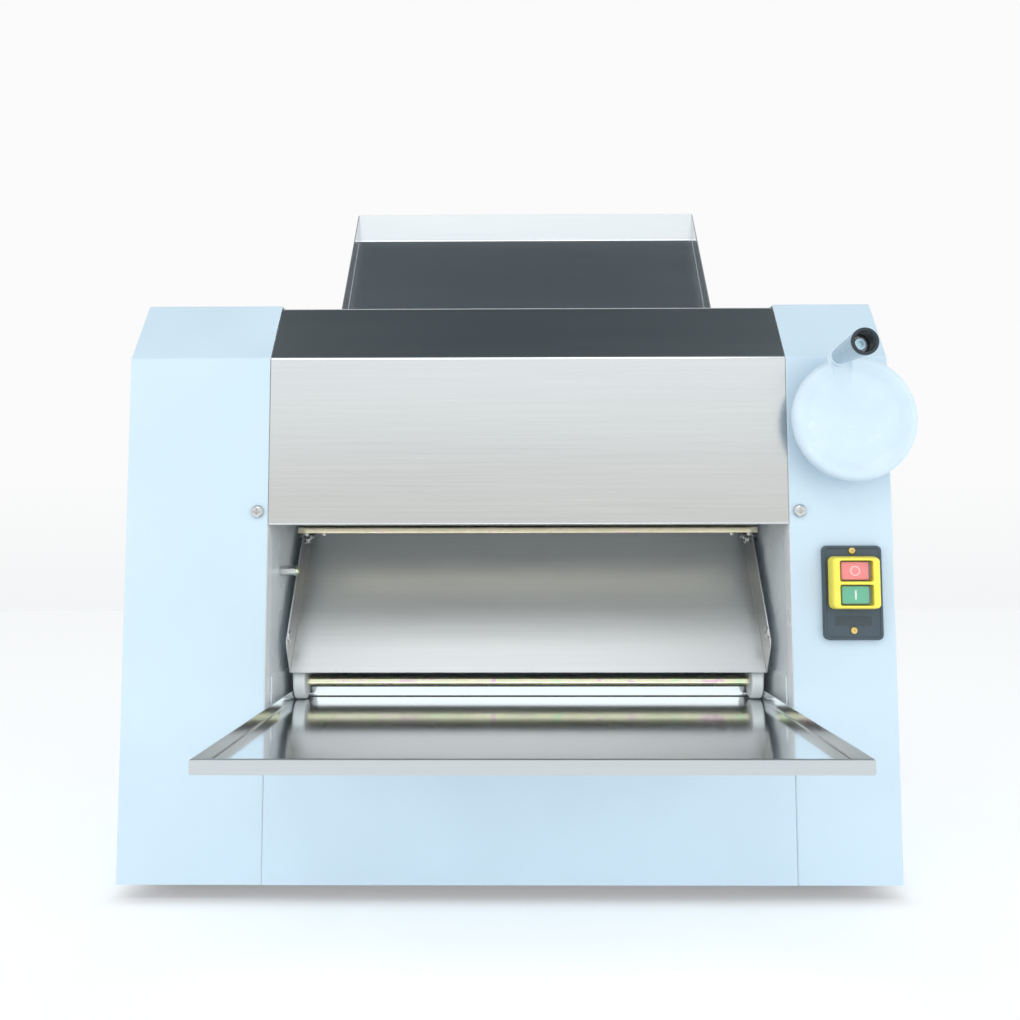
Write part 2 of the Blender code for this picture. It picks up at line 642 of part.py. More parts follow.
def build_wheels(pivot):
    make_cylinder("wheel_rod", ROD_RADIUS, -ROD_HALF, ROD_HALF, WHEEL_AXIS, "X", "yellow_zinc", pivot, 24)
    low, high = WHEEL_X
    edge = 0.0012
    bore = ROD_RADIUS + GAP
    for side, sign in (("left", -1), ("right", 1)):
        inner, outer = sorted((sign * low, sign * high))
        profile = [(WHEEL_RADIUS - edge, outer), (WHEEL_RADIUS, outer - edge), (WHEEL_RADIUS, inner + edge),
                   (WHEEL_RADIUS - edge, inner), (bore, inner), (bore, outer)]
        make_turned(f"{side}_wheel", profile, WHEEL_AXIS, "X", "nylon", pivot, 32, closed=True)


def build_stop_pin():
    profile = [(0.0, 0.0184), (0.0027, 0.0184), (0.0027, 0.016), (0.0050, 0.0155), (0.0050, GAP), (0.0, GAP)]
    make_turned("stop_pin", profile, STOP_PIN, "X", "brushed_steel", steps=20)


def build_tray(pivot):
    lip_back = TRAY_FRONT + TRAY_LIP
    tray = make_box("tray", (-TRAY_HALF, lip_back - 0.001, TRAY_BOTTOM), (TRAY_HALF, TRAY_BACK, TRAY_RIM_TOP),
                    "brushed_steel", pivot)
    lip = make_box("tray_lip", (-TRAY_LIP_HALF, TRAY_FRONT, TRAY_BOTTOM),
                   (TRAY_LIP_HALF, lip_back, TRAY_RIM_TOP), None, pivot)
    pocket = make_box("tray_pocket", (TRAY_RIM - TRAY_HALF, lip_back, TRAY_FLOOR),
                      (TRAY_HALF - TRAY_RIM, TRAY_BACK - TRAY_RIM, TRAY_RIM_TOP + 0.01), None, pivot)
    join(tray, lip)
    cut(tray, pocket)
    wall = OPENING_HALF - GAP
    for side, sign in (("left", -1), ("right", 1)):
        corner = [(wall, 0.200), (wall, 0.1672), (0.216, 0.1672), (0.216, 0.1687), (wall - 0.0015, 0.1687),
                  (wall - 0.0015, 0.200)]
        outline = [(sign * x, z) for x, z in corner]
        make_plate(f"{side}_tray_rail", [outline], 0.022, 0.352, "Y", "painted_steel")


# ================================================================ handwheel
def build_handwheel(wheel_pivot, handle_pivot, nut_pivot):
    rim_middle = 0.0525
    rim_half = WHEEL_RIM_RADIUS - rim_middle
    face = [(0.0, -0.001), (0.015, -0.001), (0.015, -0.0165), (0.040, -0.0185)]
    face += [(rim_middle + rim_half * math.cos(a), -0.025 + rim_half * math.sin(a))
             for a in (math.radians(90 - 30 * step) for step in range(7))]
    face += [(0.044, -0.0290), (0.020, -0.0270), (0.0, -0.0270)]
    wheel = make_turned("handwheel", face, HANDWHEEL, "Y", "white_gloss", wheel_pivot, 48)
    lobe = make_cylinder("handle_lobe", 0.0105, -0.0325, -0.0185, HANDLE_AXIS, "Y", None, wheel_pivot)
    join(wheel, lobe)
    grip = [(0.0035, -0.0335), (0.0073, -0.0335), (0.0085, -0.045), (0.0111, -0.091), (0.0119, -0.100),
            (0.0119, HANDLE_END + 0.001), (0.0113, HANDLE_END), (0.0095, HANDLE_END), (0.0092, -0.0860),
            (0.0035, -0.0860)]
    make_turned("handle_grip", grip, HANDLE_AXIS, "Y", "grey_handle", handle_pivot, 28, closed=True)
    bolt = [(0.0, -0.0328), (0.0030, -0.0328), (0.0030, -0.0863), (0.0068, -0.0863), (0.0068, -0.0876),
            (0.0050, -0.0876), (0.0050, -0.0935), (0.0, -0.0935)]
    make_turned("handle_bolt", bolt, HANDLE_AXIS, "Y", "mild_steel", wheel_pivot, 24)
    make_cylinder("adjusting_screw", 0.008, -0.0007, 0.150, HANDWHEEL, "Y", "mild_steel", wheel_pivot, 24)
    hole = circle((HANDWHEEL.x, HANDWHEEL.z), 0.0086)
    side = OPENING_HALF + SIDE_PLATE + GAP
    bracket = rectangle((side, 0.415), (0.330, 0.465))
    make_plate("screw_bracket", [bracket, hole], 0.030, 0.036, "Y", "mild_steel")
    nut = rectangle((HANDWHEEL.x - 0.016, HANDWHEEL.z - 0.016), (HANDWHEEL.x + 0.016, HANDWHEEL.z + 0.016))
    make_plate("adjuster_nut", [nut, hole], 0.060, 0.080, "Y", "mild_steel", parent=nut_pivot)


# ================================================================ switch, screws and gland
def build_switch(stop_pivot, start_pivot):
    plate = rounded_rectangle((SWITCH.x, SWITCH_PLATE_Z), 0.0548, 0.087, 0.005)
    frame = rounded_rectangle((SWITCH.x, SWITCH.z), 0.0460, 0.0486, 0.005)
    windows = [rounded_rectangle((SWITCH.x, SWITCH.z + level * BUTTON_SPACING), 0.0310, 0.0195, 0.002, 2)
               for level in (0.5, -0.5)]
    make_plate("switch_plate", [plate, *windows], SWITCH_PLATE_FRONT, -GAP, "Y", "slate_plastic")
    make_plate("switch_frame", [frame, *windows], SWITCH_FRAME_FRONT, SWITCH_PLATE_FRONT - GAP, "Y",
               "yellow_plastic")
    body = make_box("switch_body", (SWITCH.x - 0.020, 0.0052, SWITCH.z - 0.024),
                    (SWITCH.x + 0.020, 0.046, SWITCH.z + 0.024), "slate_plastic")
    round_edges(body, 0.002, 1)
    for name, level, finish, pivot in (("stop_button", 0.5, "red_plastic", stop_pivot),
                                       ("start_button", -0.5, "green_plastic", start_pivot)):
        z = SWITCH.z + level * BUTTON_SPACING
        button = make_box(name, (SWITCH.x - BUTTON_SIZE[0] / 2, -BUTTON_REACH, z - BUTTON_SIZE[1] / 2),
                          (SWITCH.x + BUTTON_SIZE[0] / 2, 0.0015, z + BUTTON_SIZE[1] / 2), finish, pivot)
        round_edges(button, 0.0012, 2)


def build_fasteners():
    pan_head = [(0.0, -GAP), (0.0062, -GAP), (0.0062, -0.0014), (0.0052, -0.0030), (0.0030, -0.0038),
                (0.0, -0.0040)]
    for side, sign in (("left", -1), ("right", 1)):
        make_turned(f"{side}_panel_screw", pan_head, (sign * PANEL_SCREW.x, 0.0, PANEL_SCREW.z), "Y",
                    "brushed_steel", steps=24)
    gland = [(0.0055, -0.010), (0.0085, -0.010), (0.0085, GAP), (0.012, GAP), (0.012, 0.006),
             (0.0095, 0.008), (0.0075, GLAND_REACH), (0.0055, GLAND_REACH)]
    make_turned("cable_gland", gland[::-1], (-0.300, BODY_BACK, 0.070), "Y", "slate_plastic", steps=20,
                closed=True)


def build_all():
    front = make_pivot("front_roller_axis", FRONT_AXIS, MACHINE)
    carriage = make_pivot("carriage", REAR_AXIS, MACHINE)
    rear = make_pivot("rear_roller_axis", REAR_AXIS, carriage)
    output = make_pivot("output_axis", OUTPUT_AXIS, MACHINE)
    chute = make_pivot("chute_hinge", CHUTE_HINGE, MACHINE)
    axle = make_pivot("wheel_axis", WHEEL_AXIS, chute)
    tray = make_pivot("tray_slide", (0.0, TRAY_FRONT, TRAY_FLOOR), MACHINE)
    handwheel = make_pivot("handwheel_axis", HANDWHEEL, MACHINE)
    handle = make_pivot("handle_axis", HANDLE_AXIS, handwheel)
    nut = make_pivot("nut_slide", HANDWHEEL, MACHINE)
    stop = make_pivot("stop_press", SWITCH, MACHINE)
    start = make_pivot("start_press", SWITCH, MACHINE)
    build_housings()
    build_base()
    build_side_plates()
    build_hood()
    build_panels()
    build_hopper()
    build_rollers(front, rear)
    build_carriage(carriage)
    build_drive(front, output)
    build_front_scraper()
    build_chute(chute)
    build_wheels(axle)
    build_stop_pin()
    build_tray(tray)
    build_handwheel(handwheel, handle, nut)
    build_switch(stop, start)
    build_fasteners()


clear_scene()
PARTS = make_collection("dough_sheeter")
CUTTERS = make_collection("cutters")
MATERIALS = {finish: make_material(finish) for finish in FINISHES}
MACHINE = make_pivot("machine_frame", (0.0, 0.0, 0.0))
build_all()
MACHINE.location = FRAME_OFFSET
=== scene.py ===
import json
import math
from collections import namedtuple

import bmesh
import bpy
from mathutils import Matrix, Vector

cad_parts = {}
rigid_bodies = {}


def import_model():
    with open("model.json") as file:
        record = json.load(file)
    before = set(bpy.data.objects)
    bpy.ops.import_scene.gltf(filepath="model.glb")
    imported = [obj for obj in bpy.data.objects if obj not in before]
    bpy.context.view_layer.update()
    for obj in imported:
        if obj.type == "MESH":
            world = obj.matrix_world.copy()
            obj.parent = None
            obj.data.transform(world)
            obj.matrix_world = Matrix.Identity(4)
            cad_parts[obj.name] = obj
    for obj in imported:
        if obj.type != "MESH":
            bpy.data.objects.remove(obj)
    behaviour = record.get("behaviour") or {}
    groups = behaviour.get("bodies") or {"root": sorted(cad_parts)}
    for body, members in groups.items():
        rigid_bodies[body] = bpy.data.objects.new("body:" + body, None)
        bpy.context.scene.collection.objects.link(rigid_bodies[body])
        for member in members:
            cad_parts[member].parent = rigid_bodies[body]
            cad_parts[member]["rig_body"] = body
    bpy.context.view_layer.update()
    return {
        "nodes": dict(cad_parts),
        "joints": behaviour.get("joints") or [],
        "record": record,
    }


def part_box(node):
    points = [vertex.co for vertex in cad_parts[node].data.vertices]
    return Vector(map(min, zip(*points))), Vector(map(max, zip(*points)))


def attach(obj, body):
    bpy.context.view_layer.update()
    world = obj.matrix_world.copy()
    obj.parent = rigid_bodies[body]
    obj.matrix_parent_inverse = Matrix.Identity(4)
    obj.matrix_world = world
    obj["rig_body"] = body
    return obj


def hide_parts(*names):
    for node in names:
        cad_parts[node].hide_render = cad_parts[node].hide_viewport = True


# The dough sheeter's finishes, and finer pieces in place of the CAD nodes that can be seen.
# Lengths are in metres, and places come from the frame's boxes and joints.
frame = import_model()

# ---------------------------------------------------------------- places from the frame
HOOD_LOW, HOOD_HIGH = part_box("hood")
MIDDLE_X = (HOOD_LOW.x + HOOD_HIGH.x) / 2
FRONT_Y = HOOD_LOW.y
ORIGIN = Vector((MIDDLE_X, FRONT_Y, 0.0))

# ---------------------------------------------------------------- camera
# Fitted to the photograph. The place is from ORIGIN, on the floor under the hood's front.
CAMERA_PLACE = Vector((-0.0072, -1.0366, 0.3303))
CAMERA_TURN = (math.radians(95.163), math.radians(0.091), math.radians(0.538))
CAMERA_LENS = 38.82
CAMERA_SENSOR = 36.0
CAMERA_NEAR = 0.05
CAMERA_SHIFT = (0.0, -0.0694)


def add_camera():
    data = bpy.data.cameras.new("camera")
    data.lens = CAMERA_LENS
    data.sensor_width = CAMERA_SENSOR
    data.shift_x, data.shift_y = CAMERA_SHIFT
    data.clip_start = CAMERA_NEAR
    camera = bpy.data.objects.new("camera", data)
    camera.location = ORIGIN + CAMERA_PLACE
    camera.rotation_euler = CAMERA_TURN
    bpy.context.scene.collection.objects.link(camera)
    bpy.context.scene.camera = camera


# ---------------------------------------------------------------- node helpers
class Look:
    """A procedural material, built up from short calls."""

    def __init__(self, name, color, roughness, metallic=0.0):
        self.material = bpy.data.materials.new(name)
        self.material.use_nodes = True
        self.tree = self.material.node_tree
        self.shader = self.tree.nodes["Principled BSDF"]
        self.set("Base Color", (*color, 1.0))
        self.set("Roughness", roughness)
        self.set("Metallic", metallic)
        self.coordinates = self.tree.nodes.new("ShaderNodeTexCoord").outputs["Object"]

    def set(self, label, value):
        socket = self.shader.inputs[label]
        if isinstance(value, bpy.types.NodeSocket):
            self.tree.links.new(value, socket)
        else:
            socket.default_value = value

    def noise(self, scale, detail=3.0, roughness=0.5, distortion=0.0):
        """Noise whose scale per metre is given for each axis, or for all."""
        mapping = self.tree.nodes.new("ShaderNodeMapping")
        mapping.inputs["Scale"].default_value = scale if isinstance(scale, tuple) else (scale,) * 3
        self.tree.links.new(self.coordinates, mapping.inputs["Vector"])
        noise = self.tree.nodes.new("ShaderNodeTexNoise")
        noise.inputs["Scale"].default_value = 1.0
        noise.inputs["Detail"].default_value = detail
        noise.inputs["Roughness"].default_value = roughness
        noise.inputs["Distortion"].default_value = distortion
        self.tree.links.new(mapping.outputs["Vector"], noise.inputs["Vector"])
        return noise.outputs["Fac"]

    def spread(self, value, low, high, start=0.3, end=0.7):
        """Maps start..end of a value to low..high."""
        node = self.tree.nodes.new("ShaderNodeMapRange")
        node.inputs["From Min"].default_value = start
        node.inputs["From Max"].default_value = end
        node.inputs["To Min"].default_value = low
        node.inputs["To Max"].default_value = high
        self.tree.links.new(value, node.inputs["Value"])
        return node.outputs["Result"]

    def tint(self, value, stops):
        """A colour ramp over a value: stops are (position, colour)."""
        node = self.tree.nodes.new("ShaderNodeValToRGB")
        ramp = node.color_ramp
        while len(ramp.elements) < len(stops):
            ramp.elements.new(0.5)
        for element, (position, color) in zip(ramp.elements, stops):
            element.position = position
            element.color = (*color, 1.0)
        self.tree.links.new(value, node.inputs["Fac"])
        return node.outputs["Color"]

    def sum(self, *terms):
        """Adds values, each given as (value, weight)."""
        total = None
        for value, weight in terms:
            node = self.tree.nodes.new("ShaderNodeMath")
            node.operation = "MULTIPLY_ADD"
            self.tree.links.new(value, node.inputs[0])
            node.inputs[1].default_value = weight
            if total is None:
                node.inputs[2].default_value = 0.0
            else:
                self.tree.links.new(total, node.inputs[2])
            total = node.outputs[0]
        return total

    def bump(self, height, distance):
        node = self.tree.nodes.new("ShaderNodeBump")
        node.inputs["Distance"].default_value = distance
        self.tree.links.new(height, node.inputs["Height"])
        self.set("Normal", node.outputs["Normal"])


# ---------------------------------------------------------------- materials
# Brush lines: how many noise steps a metre holds across them and along them.
FINE_LINES = (5200.0, 16.0)
MEDIUM_LINES = (900.0, 7.0)
BROAD_LINES = (26.0, 3.5)


def brushed(name, color, roughness, grain, depth, streak=0.06, spread=0.0):
    """Steel with its brush lines along one axis: grain is 0, 1 or 2 for X, Y or Z.
    The spread widens the reflections across the brush lines."""
    look = Look(name, color, roughness, 1.0)
    if spread:
        along_x = look.tree.nodes.new("ShaderNodeCombineXYZ")
        along_x.inputs["X"].default_value = 1.0
        look.set("Tangent", along_x.outputs[0])
        look.set("Anisotropic", spread)
        look.set("Anisotropic Rotation", 0.25)

    def lines(across, along):
        scale = [across, across, across]
        scale[grain] = along
        return tuple(scale)

    fine = look.noise(lines(*FINE_LINES), 2.0)
    medium = look.noise(lines(*MEDIUM_LINES), 3.0)
    broad = look.noise(lines(*BROAD_LINES), 2.0)
    wear = look.sum((medium, 0.6), (broad, 0.4))
    look.set("Roughness", look.spread(wear, roughness - streak, roughness + streak))
    darker = tuple(channel * 0.95 for channel in color)
    lighter = tuple(min(1.0, channel * 1.03) for channel in color)
    look.set("Base Color", look.tint(wear, [(0.30, darker), (0.70, lighter)]))
    look.bump(look.sum((fine, 0.75), (medium, 0.25)), depth)
    return look.material


def powder_coat(name, color, roughness):
    look = Look(name, color, roughness)
    peel = look.noise(700.0, 2.0, 0.4)
    broad = look.noise(9.0, 2.0)
    look.set("Roughness", look.spread(broad, roughness - 0.03, roughness + 0.03))
    lighter = tuple(min(1.0, channel * 1.02) for channel in color)
    darker = tuple(channel * 0.985 for channel in color)
    look.set("Base Color", look.tint(broad, [(0.35, darker), (0.65, lighter)]))
    look.bump(peel, 0.00006)
    return look.material


def plastic(name, color, roughness, grain=900.0, depth=0.00002, alpha=1.0):
    look = Look(name, color, roughness)
    look.set("Alpha", alpha)
    fine = look.noise(grain, 2.0)
    broad = look.noise(40.0, 2.0)
    look.set("Roughness", look.spread(broad, roughness - 0.04, roughness + 0.04))
    darker = tuple(channel * 0.96 for channel in color)
    look.set("Base Color", look.tint(broad, [(0.35, darker), (0.65, color)]))
    look.bump(fine, depth)
    return look.material


def yellow_zinc(name, base, roughness, variety):
    """Chromated zinc: gold with patches of green and pink."""
    look = Look(name, base, roughness, 1.0)
    patches = look.noise((60.0, 160.0, 160.0), 3.0, 0.6, 0.6)
    fine = look.noise((30.0, 2600.0, 2600.0), 2.0)
    pink = (base[0], base[1] * (1 - 0.32 * variety), base[2] * (1 + 0.25 * variety))
    green = (base[0] * (1 - 0.20 * variety), base[1] * (1 + 0.10 * variety), base[2])
    pale = tuple(min(1.0, channel * 1.12) for channel in base)
    stops = [(0.34, green), (0.46, base), (0.56, pale), (0.68, pink)]
    look.set("Base Color", look.tint(patches, stops))
    look.set("Roughness", look.spread(fine, roughness - 0.06, roughness + 0.08))
    look.bump(fine, 0.00002)
    return look.material


def machined(name, color, roughness):
    look = Look(name, color, roughness, 1.0)
    scratches = look.noise((1400.0, 180.0, 180.0), 3.0)
    patches = look.noise(45.0, 3.0)
    look.set("Roughness", look.spread(patches, roughness - 0.1, roughness + 0.12))
    darker = tuple(channel * 0.8 for channel in color)
    look.set("Base Color", look.tint(patches, [(0.3, darker), (0.7, color)]))
    look.bump(scratches, 0.00004)
    return look.material


STEEL = (0.68, 0.705, 0.72)
# Each look's kind, base colour and roughness, then what else its kind takes.
RECIPES = {
    "painted_steel": (powder_coat, (0.582, 0.724, 0.828), 0.38),
    # A lighter copy of the housing paint for the inner walls and tray rails: painted light in the
    # opening.
    "wall_paint": (powder_coat, (0.88, 0.94, 0.965), 0.26),
    # A lighter copy of the housing paint for the housings' inner return edges: a painted highlight.
    "edge_paint": (powder_coat, (0.93, 0.97, 0.99), 0.30),
    "hood_steel": (brushed, (0.69, 0.70, 0.70), 0.21, 0, 0.000007, 0.02),
    "hopper_steel": (brushed, (0.74, 0.765, 0.78), 0.23, 0, 0.000004, 0.015),
    # Brighter than the other stainless sheets: painted light on the chute, which sits under the hood.
    "chute_steel": (brushed, (0.86, 0.885, 0.90), 0.42, 0, 0.00002, 0.03, 0.85),
    # A dark copy of the chute's steel for the flanges' inner faces: painted shade.
    "flange_steel": (brushed, (0.40, 0.405, 0.385), 0.22, 2, 0.000006, 0.03),
    "brushed_steel": (brushed, STEEL, 0.30, 0, 0.00003),
    # Brighter than the other stainless sheets: painted light in the tray's reflections.
    "tray_steel": (brushed, (0.90, 0.93, 0.94), 0.11, 0, 0.0000015, 0.015),
    "lip_steel": (brushed, (0.59, 0.63, 0.645), 0.30, 0, 0.00002, 0.03),
    "mild_steel": (machined, (0.42, 0.42, 0.43), 0.42),
    "bright_steel": (machined, (0.72, 0.73, 0.73), 0.22),
    "blue_steel": (machined, (0.50, 0.68, 0.78), 0.22),
    "yellow_zinc": (yellow_zinc, (0.99, 0.93, 0.66), 0.24, 0.9),
    "pale_zinc": (yellow_zinc, (0.93, 0.83, 0.62), 0.32, 0.35),
    "brass": (yellow_zinc, (0.80, 0.60, 0.22), 0.26, 0.2),
    "nylon": (plastic, (0.88, 0.92, 0.93), 0.42, 500.0, 0.00002),
    "roller_nylon": (plastic, (0.84, 0.85, 0.84), 0.38, 300.0, 0.00003),
    "white_gloss": (plastic, (0.64, 0.78, 0.885), 0.24, 260.0, 0.000003),
    "grey_handle": (plastic, (0.36, 0.49, 0.60), 0.24, 700.0, 0.000006),
    # Also painted shade: the dark sheets under the rear louvres.
    "dark_end": (plastic, (0.020, 0.032, 0.042), 0.30, 900.0),
    "motor_grey": (powder_coat, (0.16, 0.19, 0.22), 0.5),
    "slate_plastic": (plastic, (0.060, 0.088, 0.112), 0.42, 1500.0, 0.00005),
    "label_plastic": (plastic, (0.050, 0.070, 0.082), 0.30, 900.0),
    "yellow_plastic": (plastic, (0.96, 0.84, 0.11), 0.28, 900.0, 0.000008),
    "red_plastic": (plastic, (0.97, 0.17, 0.18), 0.32, 900.0, 0.000008),
    "green_plastic": (plastic, (0.005, 0.48, 0.27), 0.32, 900.0, 0.000008),
    "white_print": (plastic, (0.88, 0.88, 0.86), 0.5),
    "clear_cover": (plastic, (0.90, 0.91, 0.90), 0.08, 900.0, 0.000002, 0.10),
    "rubber": (plastic, (0.025, 0.025, 0.028), 0.7, 1200.0, 0.00008),
}
LOOKS = {name: kind(name, *values) for name, (kind, *values) in RECIPES.items()}
SLOTS = {row["node"]: row["material_slot"] for row in frame["record"]["subparts"]}
# The inner walls and tray rails take the lighter paint: painted light.
NODE_LOOKS = {f"{side}_{part}": "wall_paint" for side in ("left", "right")
              for part in ("side_plate", "tray_rail")}


def dress_cad():
    """The CAD nodes that stay are inside or behind others: each takes its slot's look, save the side
    plates and tray rails, which take a lighter copy of the paint as painted light.
    """
    for node, item in frame["nodes"].items():
        item.data.materials.clear()
        item.data.materials.append(LOOKS[NODE_LOOKS.get(node, SLOTS[node])])


# ---------------------------------------------------------------- studio
def add_stage():
    """A plain pale floor."""
    size = 8.0
    mesh = bpy.data.meshes.new("floor")
    shape = bmesh.new()
    bmesh.ops.create_grid(shape, x_segments=1, y_segments=1, size=size / 2)
    shape.to_mesh(mesh)
    shape.free()
    floor = bpy.data.objects.new("floor", mesh)
    bpy.context.scene.collection.objects.link(floor)
    look = Look("floor_paper", (0.93, 0.94, 0.95), 0.9)
    look.set("Emission Color", (1.0, 1.0, 1.0, 1.0))
    look.set("Emission Strength", 0.22)
    look.bump(look.noise(60.0, 2.0), 0.0002)
    mesh.materials.append(look.material)


def add_area(name, place, target, size, power):
    data = bpy.data.lights.new(name, "AREA")
    data.shape = "RECTANGLE"
    data.size, data.size_y = size
    data.energy = power
    light = bpy.data.objects.new(name, data)
    light.location = ORIGIN + Vector(place)
    light.rotation_euler = (Vector(target) - Vector(place)).to_track_quat("-Z", "Y").to_euler()
    bpy.context.scene.collection.objects.link(light)
    return light


WORLD_STRENGTH = 0.845
# Colours over the direction's height, from -1 straight down to 1 straight up.
OVERHEAD = [(0.80, (1.0, 1.0, 1.0)), (0.90, (0.42, 0.48, 0.52)), (0.966, (0.100, 0.124, 0.138)),
            (1.0, (0.078, 0.100, 0.114))]
SKY = [(-1.0, (0.95, 0.95, 0.95)), (-0.04, (1.08, 1.09, 1.10)), (0.06, (1.14, 1.14, 1.14)),
       (0.50, (1.14, 1.14, 1.14)), *OVERHEAD]
FRONT_SKY = [(-1.0, (1.02, 1.02, 1.02)), (-0.05, (0.86, 0.84, 0.76)), (0.03, (0.92, 0.91, 0.87)),
             (0.09, (1.16, 1.18, 1.19)), (0.16, (1.42, 1.52, 1.57)), (0.34, (1.18, 1.22, 1.24)),
             *OVERHEAD]

# The front sky fades in between these parts of the direction towards the camera's side.
FRONT_START = -0.2
FRONT_FULL = -0.8


def sky_ramp(tree, height, stops):
    half = tree.nodes.new("ShaderNodeMapRange")
    half.inputs["From Min"].default_value = -1.0
    tree.links.new(height, half.inputs["Value"])
    node = tree.nodes.new("ShaderNodeValToRGB")
    tree.links.new(half.outputs["Result"], node.inputs["Fac"])
    ramp = node.color_ramp
    while len(ramp.elements) < len(stops):
        ramp.elements.new(0.5)
    for element, (position, color) in zip(ramp.elements, stops):
        element.position = (position + 1.0) / 2
        element.color = (*color, 1.0)
    return node.outputs["Color"]


def add_world():
    """A pale room, white all round, with a dark ceiling right overhead. In front, behind
    whoever takes the picture, it's darker low down."""
    world = bpy.data.worlds.new("studio")
    bpy.context.scene.world = world
    world.use_nodes = True
    tree = world.node_tree
    background = tree.nodes["Background"]
    direction = tree.nodes.new("ShaderNodeTexCoord").outputs["Generated"]
    split = tree.nodes.new("ShaderNodeSeparateXYZ")
    tree.links.new(direction, split.inputs[0])
    front = tree.nodes.new("ShaderNodeMapRange")
    front.interpolation_type = "SMOOTHSTEP"
    front.inputs["From Min"].default_value = FRONT_START
    front.inputs["From Max"].default_value = FRONT_FULL
    tree.links.new(split.outputs["Y"], front.inputs["Value"])
    mix = tree.nodes.new("ShaderNodeMixRGB")
    tree.links.new(front.outputs["Result"], mix.inputs["Fac"])
    tree.links.new(sky_ramp(tree, split.outputs["Z"], SKY), mix.inputs["Color1"])
    tree.links.new(sky_ramp(tree, split.outputs["Z"], FRONT_SKY), mix.inputs["Color2"])
    tree.links.new(mix.outputs["Color"], background.inputs["Color"])
    background.inputs["Strength"].default_value = WORLD_STRENGTH


def add_lights():
    """One soft box high in front, and a larger one at each side, left out of reflections."""
    add_world()
    add_area("front_box", (-0.10, -1.75, 2.30), (0.0, 0.08, 0.25), (1.6, 0.9), 9.5)
    for side in (-1, 1):
        place, target = (1.7 * side, -1.35, 0.62), (-0.10 * side, 0.10, 0.25)
        box = add_area(f"side_box_{side}", place, target, (1.7, 1.3), 7.2)
        box.visible_glossy = False


# ---------------------------------------------------------------- shapes
FACING = {
    "-Y": Matrix.Rotation(math.radians(90), 4, "X"),
    "+Y": Matrix.Rotation(math.radians(180), 4, "Z") @ Matrix.Rotation(math.radians(90), 4, "X"),
    "+X": Matrix.Rotation(math.radians(90), 4, "Y"),
    "-X": Matrix.Rotation(math.radians(-90), 4, "Y"),
    "+Z": Matrix.Identity(4),
}


def ring(radius, count=48):
    return [(radius * math.cos(math.tau * k / count), radius * math.sin(math.tau * k / count))
            for k in range(count)]


def rounded(width, height, radius, steps=6):
    """A rectangle with round corners, about the origin."""
    points = []
    for side, level, start in ((1, 1, 0), (-1, 1, 90), (-1, -1, 180), (1, -1, 270)):
        for step in range(steps + 1):
            angle = math.radians(start + 90 * step / steps)
            points.append((side * (width / 2 - radius) + radius * math.cos(angle),
                           level * (height / 2 - radius) + radius * math.sin(angle)))
    return points


def shifted(points, x, y):
    return [(px + x, py + y) for px, py in points]


def cross(reach, width):
    """The outline of a cross recess."""
    half = width / 2
    arm = [(half, half), (half, reach), (-half, reach)]
    points = []
    for turn in range(4):
        angle = math.radians(90 * turn)
        cosine, sine = math.cos(angle), math.sin(angle)
        points += [(x * cosine - y * sine, x * sine + y * cosine) for x, y in arm]
    return points


def bridge(shape, lower, upper):
    count = len(lower)
    for k in range(count):
        after = (k + 1) % count
        shape.faces.new((lower[k], lower[after], upper[after], upper[k]))


def cap(shape, loops):
    """Fills a flat face between a loop and the holes in it."""
    if len(loops) == 1:
        shape.faces.new(loops[0])
        return
    edges = []
    for loop in loops:
        for k, vert in enumerate(loop):
            pair = (vert, loop[(k + 1) % len(loop)])
            edges.append(shape.edges.get(pair) or shape.edges.new(pair))
    bmesh.ops.triangle_fill(shape, edges=edges, use_beauty=True)


def stacked(rings, holes=(), depth=None):
    """A closed solid through a stack of (outline, height). Holes go right through, or
    down to a depth under the last outline."""
    shape = bmesh.new()
    loops = [[shape.verts.new((x, y, height)) for x, y in points] for points, height in rings]
    for lower, upper in zip(loops, loops[1:]):
        bridge(shape, lower, upper)
    top = rings[-1][1]
    low = rings[0][1] if depth is None else top - depth
    mouths = [[shape.verts.new((x, y, top)) for x, y in hole] for hole in holes]
    floors = [[shape.verts.new((x, y, low)) for x, y in hole] for hole in holes]
    for floor, mouth in zip(floors, mouths):
        bridge(shape, floor, mouth)
    cap(shape, [loops[-1], *mouths])
    if depth is None:
        cap(shape, [loops[0], *floors])
    else:
        cap(shape, [loops[0]])
        for floor in floors:
            cap(shape, [floor])
    bmesh.ops.recalc_face_normals(shape, faces=shape.faces)
    return shape


def revolved(profile, steps=64, closed=False):
    """A turned solid: (radius, height) points from one end to the other."""
    shape = bmesh.new()
    rings = []
    for radius, height in profile:
        points = ring(radius, steps) if radius else [(0.0, 0.0)]
        rings.append([shape.verts.new((x, y, height)) for x, y in points])
    pairs = list(zip(rings, rings[1:]))
    if closed:
        pairs.append((rings[-1], rings[0]))
    for upper, lower in pairs:
        for k in range(steps):
            after = (k + 1) % steps
            corners = [upper[k % len(upper)], upper[after % len(upper)],
                       lower[after % len(lower)], lower[k % len(lower)]]
            shape.faces.new(list(dict.fromkeys(corners)))
    bmesh.ops.recalc_face_normals(shape, faces=shape.faces)
    return shape


def arc(centre, radius, start, end, steps=8):
    """Points (radius, height) along an arc, for a turned profile."""
    angles = [math.radians(start + (end - start) * k / steps) for k in range(steps + 1)]
    return [(centre[0] + radius * math.cos(a), centre[1] + radius * math.sin(a)) for a in angles]


